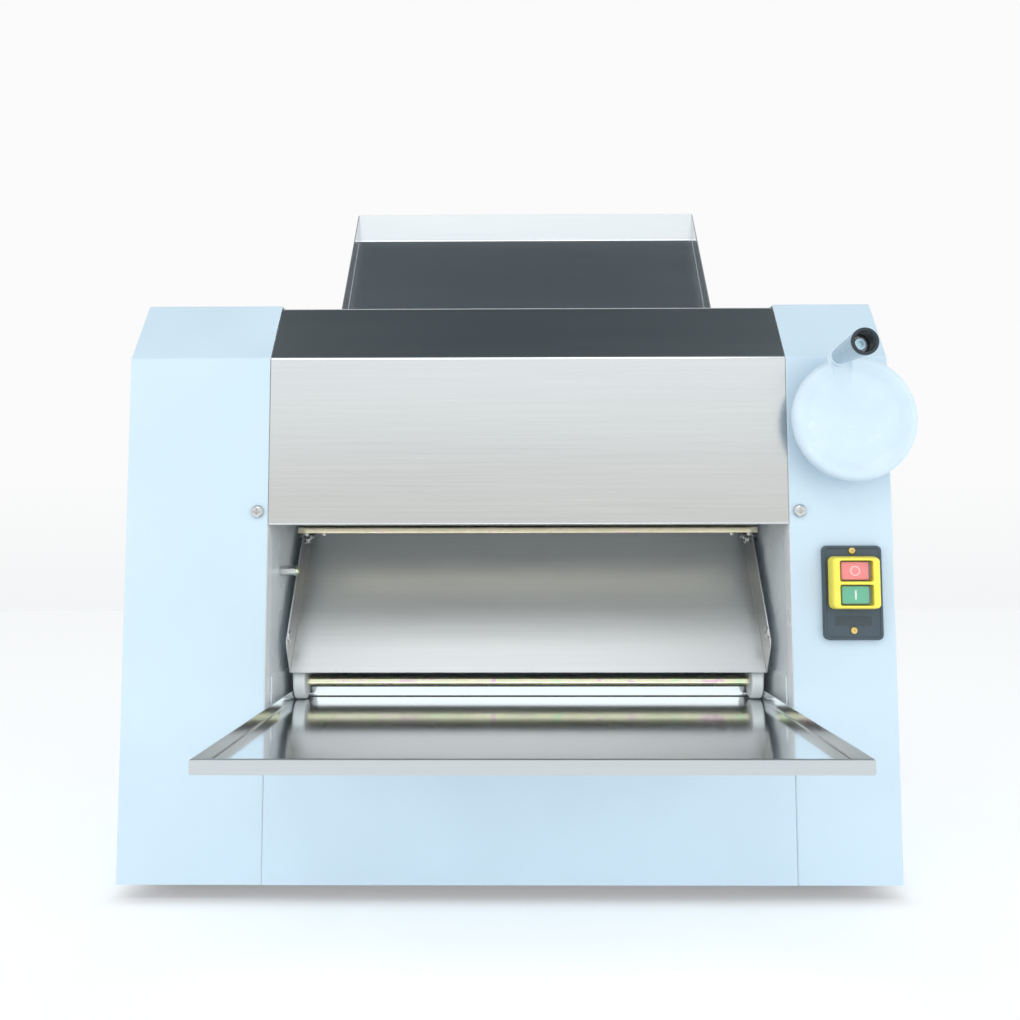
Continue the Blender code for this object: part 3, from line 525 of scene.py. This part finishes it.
def coil(radius, wire, pitch, turns, per_turn=20, sides=8):
    """A wire coil along Z."""
    shape = bmesh.new()
    loops = []
    for step in range(int(turns * per_turn) + 1):
        angle = math.tau * step / per_turn
        out = Vector((math.cos(angle), math.sin(angle), 0.0))
        centre = out * radius + Vector((0.0, 0.0, pitch * step / per_turn))
        loops.append([shape.verts.new(centre + out * wire * x + Vector((0.0, 0.0, wire * y)))
                      for x, y in ring(1.0, sides)])
    for lower, upper in zip(loops, loops[1:]):
        bridge(shape, lower, upper)
    cap(shape, [loops[0]])
    cap(shape, [loops[-1]])
    bmesh.ops.recalc_face_normals(shape, faces=shape.faces)
    return shape


def joined(shapes):
    """One mesh of several solids, each given with its own place."""
    total = bmesh.new()
    for shape, place in shapes:
        bmesh.ops.translate(shape, vec=place, verts=shape.verts)
        mesh = bpy.data.meshes.new("part")
        shape.to_mesh(mesh)
        shape.free()
        total.from_mesh(mesh)
        bpy.data.meshes.remove(mesh)
    return total


SHARP = math.radians(42)
# The place of a shape that is made where it belongs.
IN_PLACE = (0.0, 0.0, 0.0)
WELD = 0.000002
FLAT = math.radians(0.5)
# How squarely a face has to look at the middle to take the painted-light look.
TOWARDS = 0.6


def add_piece(name, shape, place, facing, look, body, replaces=()):
    """Puts a shape in place, gives it its material, and lets it ride on a body."""
    shape.transform(Matrix.Translation(place) @ FACING[facing])
    mesh = bpy.data.meshes.new(name)
    shape.to_mesh(mesh)
    shape.free()
    mesh.polygons.foreach_set("use_smooth", [True] * len(mesh.polygons))
    mesh.set_sharp_from_angle(angle=SHARP)
    mesh.materials.append(LOOKS[look])
    piece = bpy.data.objects.new(name, mesh)
    bpy.context.scene.collection.objects.link(piece)
    normals = piece.modifiers.new("normals", "WEIGHTED_NORMAL")
    normals.keep_sharp = True
    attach(piece, body)
    if replaces:
        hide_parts(*replaces)
    return piece


def refine(node, look, width=0.0003, corner=62, painted_light_look=None, within=1.0):
    """A copy of a CAD sheet with its cut edges rounded and its bends shaded smooth. Faces
    that face the middle, within a distance of it, may take a second look: painted shade on
    the chute's flanges and a painted highlight on the housings' inner edges."""
    source = frame["nodes"][node]
    shape = bmesh.new()
    shape.from_mesh(source.data)
    bmesh.ops.remove_doubles(shape, verts=shape.verts, dist=WELD)
    bmesh.ops.dissolve_limit(shape, angle_limit=FLAT, verts=shape.verts, edges=shape.edges)
    edges = [edge for edge in shape.edges
             if len(edge.link_faces) == 2 and edge.calc_face_angle(0.0) > math.radians(corner)]
    bmesh.ops.bevel(shape, geom=edges, offset=width, offset_type="OFFSET", segments=2, profile=0.5,
                    affect="EDGES", clamp_overlap=True)
    piece = add_piece(node + "_finished", shape, IN_PLACE, "+Z", look, source["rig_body"],
                      [node])
    if painted_light_look:
        piece.data.materials.append(LOOKS[painted_light_look])
        for face in piece.data.polygons:
            offset = face.center.x - MIDDLE_X
            faces_middle = face.normal.x * offset < -TOWARDS * abs(offset)
            if faces_middle and abs(offset) < within:
                face.material_index = 1


# ---------------------------------------------------------------- pieces
Box = namedtuple("Box", "low high middle size")


def span(node):
    """A node's box in the frame."""
    low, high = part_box(node)
    return Box(low, high, (low + high) / 2, high - low)


def add_sheets():
    """The folded sheets, which keep the CAD's own shapes."""
    for node, look in (("lower_front_panel", "painted_steel"), ("rear_cover", "painted_steel"),
                       ("hood", "hood_steel"), ("hopper", "hopper_steel")):
        refine(node, look)
    # The chute's steel is brightened with painted light, and its flanges' inner faces take painted
    # shade.
    refine("chute", "chute_steel", painted_light_look="flange_steel")
    for side in ("left", "right"):
        # The housings' faces towards the opening take a painted highlight.
        refine(f"{side}_housing", "painted_steel", painted_light_look="edge_paint", within=0.26)
    refine("scraper_bar", "pale_zinc", 0.0010)


def add_tray():
    """The tray: a pan folded from one sheet, and the hemmed lip across its front."""
    tray = span("tray")
    sheet = 0.0010
    overhang = 0.0005
    fold = 0.0022
    edge_round = 0.0003
    lip = 0.003
    lip_turn = 0.0006
    lip_corner = 0.0013
    front = tray.low.y + lip / 2
    shape = bmesh.new()
    bmesh.ops.create_cube(shape, size=1.0)
    extent = Vector((tray.size.x - 2 * overhang, tray.high.y - front, tray.size.z))
    bmesh.ops.scale(shape, vec=extent, verts=shape.verts)
    centre = (tray.middle.x, (front + tray.high.y) / 2, tray.middle.z)
    bmesh.ops.translate(shape, vec=centre, verts=shape.verts)
    open_top = [face for face in shape.faces if face.normal.z > 0.9]
    bmesh.ops.delete(shape, geom=open_top, context="FACES_ONLY")
    floor = next(face for face in shape.faces if face.normal.z < -0.9)
    bmesh.ops.bevel(shape, geom=list(floor.edges), offset=fold, offset_type="OFFSET", segments=5,
                    profile=0.5, affect="EDGES")
    # The pan's steel is brightened: painted light in its reflections.
    pan = add_piece("tray_pan", shape, IN_PLACE, "+Z", "tray_steel", "tray", ["tray"])
    solid = pan.modifiers.new("sheet", "SOLIDIFY")
    solid.thickness = sheet
    solid.offset = -1.0
    solid.use_even_offset = True
    edge = pan.modifiers.new("edge", "BEVEL")
    edge.width = edge_round
    edge.segments = 2
    edge.angle_limit = math.radians(60)
    pan.modifiers.move(0, 2)
    outline = [(lip_turn, 0.0), (0.0, lip_turn), (0.0, lip - lip_turn), (lip_turn, lip)]
    rings = [(rounded(tray.size.x - 2 * inset, tray.size.z - 2 * inset, lip_corner - inset), height)
             for inset, height in outline]
    place = (tray.middle.x, tray.low.y + lip, tray.middle.z)
    add_piece("tray_front_lip", stacked(rings), place, "-Y", "lip_steel", "tray")


def wheel_profile(outer, half, bore):
    """A wheel's section: a hub and a tread that stand out a little from the web."""
    turn = 0.0022
    web = half - 0.0006
    hub, web_low, web_high, tread = (outer * share for share in (0.45, 0.50, 0.80, 0.84))
    profile = [(bore, -half), (hub, -half), (web_low, -web), (web_high, -web), (tread, -half)]
    profile += arc((outer - turn, turn - half), turn, -90, 0)
    profile += arc((outer - turn, half - turn), turn, 0, 90)
    return profile + [(tread, half), (web_high, web), (web_low, web), (hub, half), (bore, half)]


def add_axle():
    """The two rolling wheels and their plated rod."""
    rod = span("wheel_rod")
    radius = rod.size.z / 2
    half = rod.size.x / 2
    chamfer = 0.0008
    clearance = 0.0002
    profile = [(0.0, -half), (radius - chamfer, -half), (radius, chamfer - half),
               (radius, half - chamfer), (radius - chamfer, half), (0.0, half)]
    add_piece("axle_rod", revolved(profile), rod.middle, "+X", "yellow_zinc", "wheel_axle",
              ["wheel_rod"])
    for side, facing in (("left", "-X"), ("right", "+X")):
        wheel = span(f"{side}_wheel")
        profile = wheel_profile(wheel.size.z / 2, wheel.size.x / 2, radius + clearance)
        add_piece(f"{side}_nylon_wheel", revolved(profile, closed=True), wheel.middle, facing, "nylon",
                  "wheel_axle", [f"{side}_wheel"])


def screw_head(radius, height, reach, recess):
    """A pan head with a cross recess."""
    dome = [(1.0, 0.0), (1.0, 0.30), (0.95, 0.55), (0.84, 0.78), (0.68, 0.92), (0.50, 1.0)]
    rings = [(ring(radius * wide), height * rise) for wide, rise in dome]
    return stacked(rings, [cross(reach, reach * 0.42)], recess)


def add_screws():
    """The cross screw beside each end of the opening, and the screw ends under the bar."""
    for side in ("left", "right"):
        screw = span(f"{side}_panel_screw")
        head = screw_head(screw.size.x / 2, screw.size.y, 0.0026, 0.0016)
        place = Vector((screw.middle.x, screw.high.y, screw.middle.z))
        add_piece(f"{side}_cross_screw", head, place, "-Y", "bright_steel", "frame",
                  [f"{side}_panel_screw"])
    bar = span("scraper_bar")
    tip = [(0.0, -0.0026), (0.0018, -0.0026), (0.0024, -0.0020), (0.0024, 0.0010), (0.0, 0.0010)]
    ends = [(revolved(tip, 20), (bar.middle.x + x, bar.middle.y, bar.low.z))
            for x in (-0.2252, -0.2078, 0.2078, 0.2252)]
    add_piece("scraper_screw_ends", joined(ends), IN_PLACE, "+Z", "bright_steel", "frame")


def add_chute_fittings():
    """A round head low on each flange's inner face, and a return spring at each hinge pin."""
    chute = span("chute")
    sheet = 0.0012
    for side, facing, sign, rise in (("left", "+X", 1, 0.0), ("right", "-X", -1, 0.004)):
        inner = chute.low.x + sheet if sign > 0 else chute.high.x - sheet
        place = Vector((inner, chute.low.y + 0.0110, chute.low.z + 0.0520 + rise))
        add_piece(f"{side}_flange_screw", screw_head(0.0062, 0.0018, 0.0026, 0.0010), place, facing,
                  "bright_steel", "chute")
        pin = span(f"{side}_hinge_pin").middle
        place = Vector((inner + sign * 0.0006, pin.y - 0.0200, pin.z - 0.0040))
        add_piece(f"{side}_return_spring", coil(0.0036, 0.0006, 0.0014, 3.5), place, facing,
                  "bright_steel", "chute")


def add_stop_pin():
    """The pin on the left wall that the lifted chute meets, and its plated tip."""
    pin = span("stop_pin")
    shank = pin.size.y / 2
    length = pin.size.x
    end = length * 0.85
    body = [(0.0, 0.0), (shank, 0.0), (shank, length * 0.80), (shank - 0.0006, end), (0.0, end)]
    place = Vector((pin.low.x, pin.middle.y, pin.middle.z))
    add_piece("stop_pin_body", revolved(body, 40), place, "+X", "bright_steel", "frame",
              ["stop_pin"])
    tip = [(0.0, end), (0.0032, end), (0.0032, length * 0.97), (0.0026, length), (0.0, length)]
    add_piece("stop_pin_tip", revolved(tip, 32), place, "+X", "yellow_zinc", "frame")


ANCHORS = {row["name"]: Vector(row["pos_m"]) for row in frame["joints"] if "pos_m" in row}
WHEEL_RIM = 0.0580
RIM_MIDDLE = 0.0513
RIM_HEIGHT = 0.025
LOBE_RADIUS = 0.0105
LOBE_BLEND = 0.0045


def lobe_rise(angle, offset):
    """How far the wheel's outline stands out at an angle from the handle's direction."""
    sine = math.sin(angle)
    if math.cos(angle) <= 0.0 or offset * abs(sine) >= LOBE_RADIUS:
        reach = 0.0
    else:
        reach = offset * math.cos(angle) + math.sqrt(LOBE_RADIUS ** 2 - (offset * sine) ** 2)
    gap = abs(reach - WHEEL_RIM)
    blend = max(LOBE_BLEND - gap, 0.0) ** 2 / (4 * LOBE_BLEND)
    return max(reach, WHEEL_RIM) + blend - WHEEL_RIM


def add_handwheel():
    """The dished wheel, with a lobe on its rim that carries the handle."""
    axis = ANCHORS["handwheel_turn"]
    handle = ANCHORS["handle_spin"] - axis
    offset = math.hypot(handle.x, handle.z)
    heading = math.atan2(handle.z, handle.x)
    half = WHEEL_RIM - RIM_MIDDLE
    # Each level is a radius, a height, and how much of the lobe it takes.
    levels = [(0.0150, 0.0010, 0.0), (0.0150, 0.0150, 0.0), (0.0165, 0.0166, 0.0),
              (0.0400, 0.0185, 0.0)]
    levels += [(RIM_MIDDLE + half * math.cos(a), RIM_HEIGHT + half * math.sin(a), 1.0)
               for a in (math.radians(-90 + 12 * step) for step in range(16))]
    levels += [(0.0462, 0.0298, 0.80), (0.0438, 0.0282, 0.55), (0.0400, 0.0267, 0.25),
               (0.0320, 0.0256, 0.06), (0.0200, 0.0250, 0.0), (0.0080, 0.0249, 0.0)]
    # The points lie closer together near the lobe.
    count = 180
    even = [math.pi * (2 * k / count - 1) for k in range(count)]
    turns = [math.copysign(abs(t / math.pi) ** 1.5 * math.pi, t) for t in even]
    rings = []
    for radius, height, share in levels:
        reaches = [radius + share * lobe_rise(t, offset) for t in turns]
        rings.append(([(reach * math.cos(heading + t), reach * math.sin(heading + t))
                       for reach, t in zip(reaches, turns)], height))
    add_piece("handwheel_disc", stacked(rings), axis, "-Y", "white_gloss", "handwheel",
              ["handwheel"])
    place = ANCHORS["handle_spin"].copy()
    place.y = axis.y
    collar = [(0.0, 0.0300), (0.0092, 0.0300), (0.0090, 0.0322), (0.0080, 0.0331), (0.0, 0.0331)]
    add_piece("handle_boss", revolved(collar), place, "-Y", "white_gloss", "handwheel")
    add_handle(place)


def add_handle(place):
    """The revolving grip with its dark end, and the washer and socket screw in it. Heights
    are from the wheel's back."""
    end = 0.1085
    floor = 0.0862
    bore = 0.0036
    grip = [(bore, 0.0336), (0.0066, 0.0336)]
    grip += arc((0.0064, 0.0345), 0.0009, -60, 0, 4)
    grip += [(0.0085, 0.0450), (0.0099, 0.0680), (0.0111, 0.0910), (0.0118, 0.1000),
             (0.0120, 0.1050), (0.0120, end - 0.0022), (0.0096, end - 0.0022), (0.0096, floor),
             (bore, floor)]
    add_piece("handle_sleeve", revolved(grip, closed=True), place, "-Y", "grey_handle",
              "handle_grip", ["handle_grip"])
    bead = 0.0012
    liner = [(0.0089, 0.0864), (0.0095, 0.0864), (0.0095, end - 0.0021), (0.0120, end - 0.0021)]
    liner += arc((0.0120 - bead, end - bead), bead, 0, 90, 6)
    liner += arc((0.0089 + bead, end - bead), bead, 90, 180, 6)
    add_piece("handle_end_ring", revolved(liner, closed=True), place, "-Y", "dark_end",
              "handle_grip")
    washer = [(0.0032, 0.0866), (0.0076, 0.0866), (0.0079, 0.0869), (0.0079, 0.0875),
              (0.0076, 0.0878), (0.0032, 0.0878)]
    add_piece("handle_washer", revolved(washer, closed=True), place, "-Y", "bright_steel",
              "handwheel")
    screw = [(0.0030, 0.0330), (0.0030, 0.0879), (0.0053, 0.0879), (0.0055, 0.0882),
             (0.0055, 0.0935), (0.0051, 0.0941), (0.0043, 0.0941)]
    rings = [(ring(radius), height) for radius, height in screw]
    add_piece("handle_socket_screw", stacked(rings, [ring(0.0030, 6)], 0.0030), place, "-Y",
              "blue_steel", "handwheel", ["handle_bolt"])


def moulded(outline, levels):
    """Rings of a moulded block: outline gives (width, height, corner radius), and each
    level an (inset, height)."""
    width, height, radius = outline
    return [(rounded(width - 2 * inset, height - 2 * inset, max(radius - inset, 0.0004)), level)
            for inset, level in levels]


def add_switch_plate(plate, holes):
    """The base plate with its raised edge, a blank label and two screws."""
    back = Vector((plate.middle.x, plate.high.y, plate.middle.z))
    front = plate.size.y
    face = front - 0.0010
    levels = [(0.0, 0.0), (0.0, face), (0.0006, front - 0.0002), (0.0010, front),
              (0.0020, front), (0.0026, front - 0.0004), (0.0030, face)]
    outline = (plate.size.x, plate.size.z, 0.005)
    add_piece("switch_base", stacked(moulded(outline, levels), holes), back, "-Y",
              "slate_plastic", "frame", ["switch_plate"])
    levels = [(0.0, face - 0.0002), (0.0, face + 0.0003), (0.0004, face + 0.0005)]
    place = back + Vector((0.0, 0.0, -0.0262))
    add_piece("switch_blank_label", stacked(moulded((0.033, 0.0085, 0.0012), levels)), place,
              "-Y", "label_plastic", "frame")
    for name, rise in (("upper", 0.0388), ("lower", -0.0346)):
        place = back + Vector((0.0, -face, rise))
        add_piece(f"switch_{name}_screw", screw_head(0.0033, 0.0018, 0.0015, 0.0010), place,
                  "-Y", "brass", "frame")


def add_switch_guard(guard, holes):
    """The yellow block that stands round both buttons."""
    depth = guard.size.y
    levels = [(0.0, 0.0), (0.0, 0.0020), (0.0010, depth - 0.0022), (0.0015, depth - 0.0009),
              (0.0024, depth - 0.0002), (0.0034, depth)]
    outline = (guard.size.x, guard.size.z, 0.005)
    place = Vector((guard.middle.x, guard.high.y, guard.middle.z))
    add_piece("switch_guard", stacked(moulded(outline, levels), holes), place, "-Y",
              "yellow_plastic", "frame", ["switch_frame"])


def add_button(name, button, finish):
    """A button's key, the mark on it and its clear cover, which travels with it."""
    reach = button.size.y
    place = Vector((button.middle.x, button.high.y, button.middle.z))
    levels = [(0.0, 0.0), (0.0, reach - 0.0012), (0.0004, reach - 0.0003), (0.0012, reach)]
    outline = (button.size.x, button.size.z, 0.0012)
    add_piece(name + "_key", stacked(moulded(outline, levels)), place, "-Y", finish, name,
              [name])
    low, high = -0.0002, 0.0001
    if name == "stop_button":
        mark = revolved([(0.0037, low), (0.0044, low), (0.0044, high), (0.0037, high)],
                        closed=True)
    else:
        mark = stacked([(rounded(0.0016, 0.0085, 0.0003), height) for height in (low, high)])
    add_piece(name + "_mark", mark, place + Vector((0.0, -reach, 0.0)), "-Y", "white_print",
              name)
    levels = [(0.0, reach - 0.0050), (0.0, reach + 0.0010), (0.0008, reach + 0.0022),
              (0.0022, reach + 0.0027)]
    cover = stacked(moulded((0.0296, 0.0186, 0.0022), levels))
    back_face = min(cover.faces, key=lambda face: face.calc_center_median().z)
    bmesh.ops.delete(cover, geom=[back_face], context="FACES_ONLY")
    clear = add_piece(name + "_cover", cover, place, "-Y", "clear_cover", name)
    wall = clear.modifiers.new("wall", "SOLIDIFY")
    wall.thickness = 0.0005
    wall.offset = -1.0


def add_switch():
    plate = span("switch_plate")
    guard = span("switch_frame")
    buttons = {name: span(name) for name in ("stop_button", "start_button")}
    window = (0.0308, 0.0193, 0.002)
    holes = [shifted(rounded(*window), box.middle.x - plate.middle.x,
                     box.middle.z - plate.middle.z) for box in buttons.values()]
    add_switch_plate(plate, holes)
    step = (plate.middle.x - guard.middle.x, plate.middle.z - guard.middle.z)
    add_switch_guard(guard, [shifted(hole, *step) for hole in holes])
    add_button("stop_button", buttons["stop_button"], "red_plastic")
    add_button("start_button", buttons["start_button"], "green_plastic")


# ---------------------------------------------------------------- back, sides and feet
def add_cover_screws(name, facing, places):
    """One piece of several alike cross screws."""
    heads = []
    for place in places:
        head = screw_head(0.0045, 0.0024, 0.0019, 0.0012)
        head.transform(FACING[facing])
        heads.append((head, place))
    add_piece(name, joined(heads), IN_PLACE, "+Z", "bright_steel", "frame")


def add_outer_screws():
    """Cover screws on the back and the outer sides, where the photograph doesn't look."""
    cover = span("rear_cover")
    add_cover_screws("rear_cover_screws", "+Y",
                     [(x, cover.high.y, z) for z in (0.060, 0.290, 0.520)
                      for x in (cover.low.x + 0.012, cover.high.x - 0.012)])
    for side, facing in (("left", "-X"), ("right", "+X")):
        shell = span(f"{side}_housing")
        x = shell.low.x if side == "left" else shell.high.x
        add_cover_screws(f"{side}_side_screws", facing,
                         [(x, y, z) for y in (shell.low.y + 0.025, shell.high.y - 0.025)
                          for z in (0.045, 0.250, 0.455)])


def louvre(width, drop, rise):
    """One pressed louvre: a hooded blade that faces down, with its ends closed."""
    half = width / 2
    steps = 6
    sections = []
    for x, share in ((-half, 0.05), (0.004 - half, 0.8), (0.008 - half, 1.0),
                     (half - 0.008, 1.0), (half - 0.004, 0.8), (half, 0.05)):
        curve = [(x, drop * (1 - k / steps), share * rise * math.sin(math.pi / 2 * k / steps))
                 for k in range(steps + 1)]
        sections.append(curve + [(x, 0.0, 0.0)])
    shape = bmesh.new()
    loops = [[shape.verts.new(point) for point in section] for section in sections]
    for lower, upper in zip(loops, loops[1:]):
        bridge(shape, lower, upper)
    cap(shape, [loops[0]])
    cap(shape, [loops[-1]])
    bmesh.ops.recalc_face_normals(shape, faces=shape.faces)
    return shape


def add_louvres():
    """Two columns of louvres in the rear cover, and a thin dark sheet under each, painted shade where
    its gap would be.
    """
    cover = span("rear_cover")
    blades = []
    gap_shades = []
    for column in (-0.110, 0.110):
        for row in range(9):
            x, y, z = cover.middle.x + column, cover.high.y, 0.150 + 0.022 * row
            blade = louvre(0.120, 0.010, 0.0045)
            blade.transform(FACING["+Y"])
            blades.append((blade, (x, y, z)))
            # A thin dark sheet under the blade, painted shade in place of the gap.
            gap = stacked([(rounded(0.110, 0.0022, 0.0008), height) for height in (0.0, 0.0001)])
            gap.transform(FACING["+Y"])
            gap_shades.append((gap, (x, y, z - 0.0012)))
    add_piece("rear_louvres", joined(blades), IN_PLACE, "+Z", "painted_steel", "frame")
    add_piece("rear_louvre_gap_shades", joined(gap_shades), IN_PLACE, "+Z", "dark_end", "frame")


def add_gland():
    """The cable gland's hexagon nut, and the domed cap that a cord would leave through."""
    gland = span("cable_gland")
    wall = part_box("left_housing")[1].y
    place = Vector((gland.middle.x, wall, gland.middle.z))
    reach = gland.high.y - wall
    bore = 0.0052
    hexagon = ring(0.0122, 6)
    chamfered = [(x * 0.94, y * 0.94) for x, y in hexagon]
    nut = stacked([(chamfered, 0.0004), (hexagon, 0.0010), (hexagon, 0.0050),
                   (chamfered, 0.0058)], [ring(bore, 24)])
    add_piece("gland_nut", nut, place, "+Y", "slate_plastic", "frame",
              ["cable_gland"])
    dome = [(bore, 0.0050), (0.0098, 0.0050), (0.0098, 0.0085)]
    dome += arc((0.0068, 0.0085), 0.0030, 0, 80) + [(0.0066, reach), (bore, reach)]
    add_piece("gland_cap", revolved(dome, 48, closed=True), place, "+Y", "slate_plastic",
              "frame")


def add_feet():
    """Round feet, each with a groove near its top."""
    for node in (f"foot_{row}_{side}" for row in ("front", "rear") for side in ("left", "right")):
        foot = span(node)
        top = foot.size.z
        wide = foot.size.x / 2
        profile = [(0.0, 0.0), (wide * 0.70, 0.0), (wide * 0.78, 0.0006), (wide * 0.84, 0.0020),
                   (wide * 0.97, top * 0.42), (wide, top * 0.50), (wide, top * 0.60),
                   (wide * 0.96, top * 0.64), (wide * 0.96, top * 0.72), (wide, top * 0.76),
                   (wide, top), (0.0, top)]
        place = Vector((foot.middle.x, foot.middle.y, foot.low.z))
        add_piece(node + "_rubber", revolved(profile, 48), place, "+Z", "rubber", "frame",
                  [node])


def add_rollers():
    """The rollers, turned finer than the CAD ones, because the hopper's mouth shows them."""
    journal = 0.012
    face = 0.238
    turn = 0.0012
    for node in ("front_roller", "rear_roller"):
        roller = span(node)
        outer = roller.size.z / 2
        left, right = roller.low.x - MIDDLE_X, roller.high.x - MIDDLE_X
        profile = [(0.0, left), (journal, left), (journal, -face), (outer - turn, -face)]
        profile += arc((outer - turn, turn - face), turn, -90, 0, 4)
        profile += arc((outer - turn, face - turn), turn, 0, 90, 4)
        profile += [(journal, face), (journal, right), (0.0, right)]
        place = Vector((MIDDLE_X, roller.middle.y, roller.middle.z))
        add_piece(f"{node}_turned", revolved(profile, 96), place, "+X", "roller_nylon", node,
                  [node])


# ---------------------------------------------------------------- build
add_camera()
add_stage()
add_lights()
dress_cad()
add_sheets()
add_tray()
add_axle()
add_screws()
add_chute_fittings()
add_stop_pin()
add_handwheel()
add_switch()
add_outer_screws()
add_louvres()
add_gland()
add_feet()
add_rollers()
bpy.context.scene.view_settings.view_transform = "Standard"
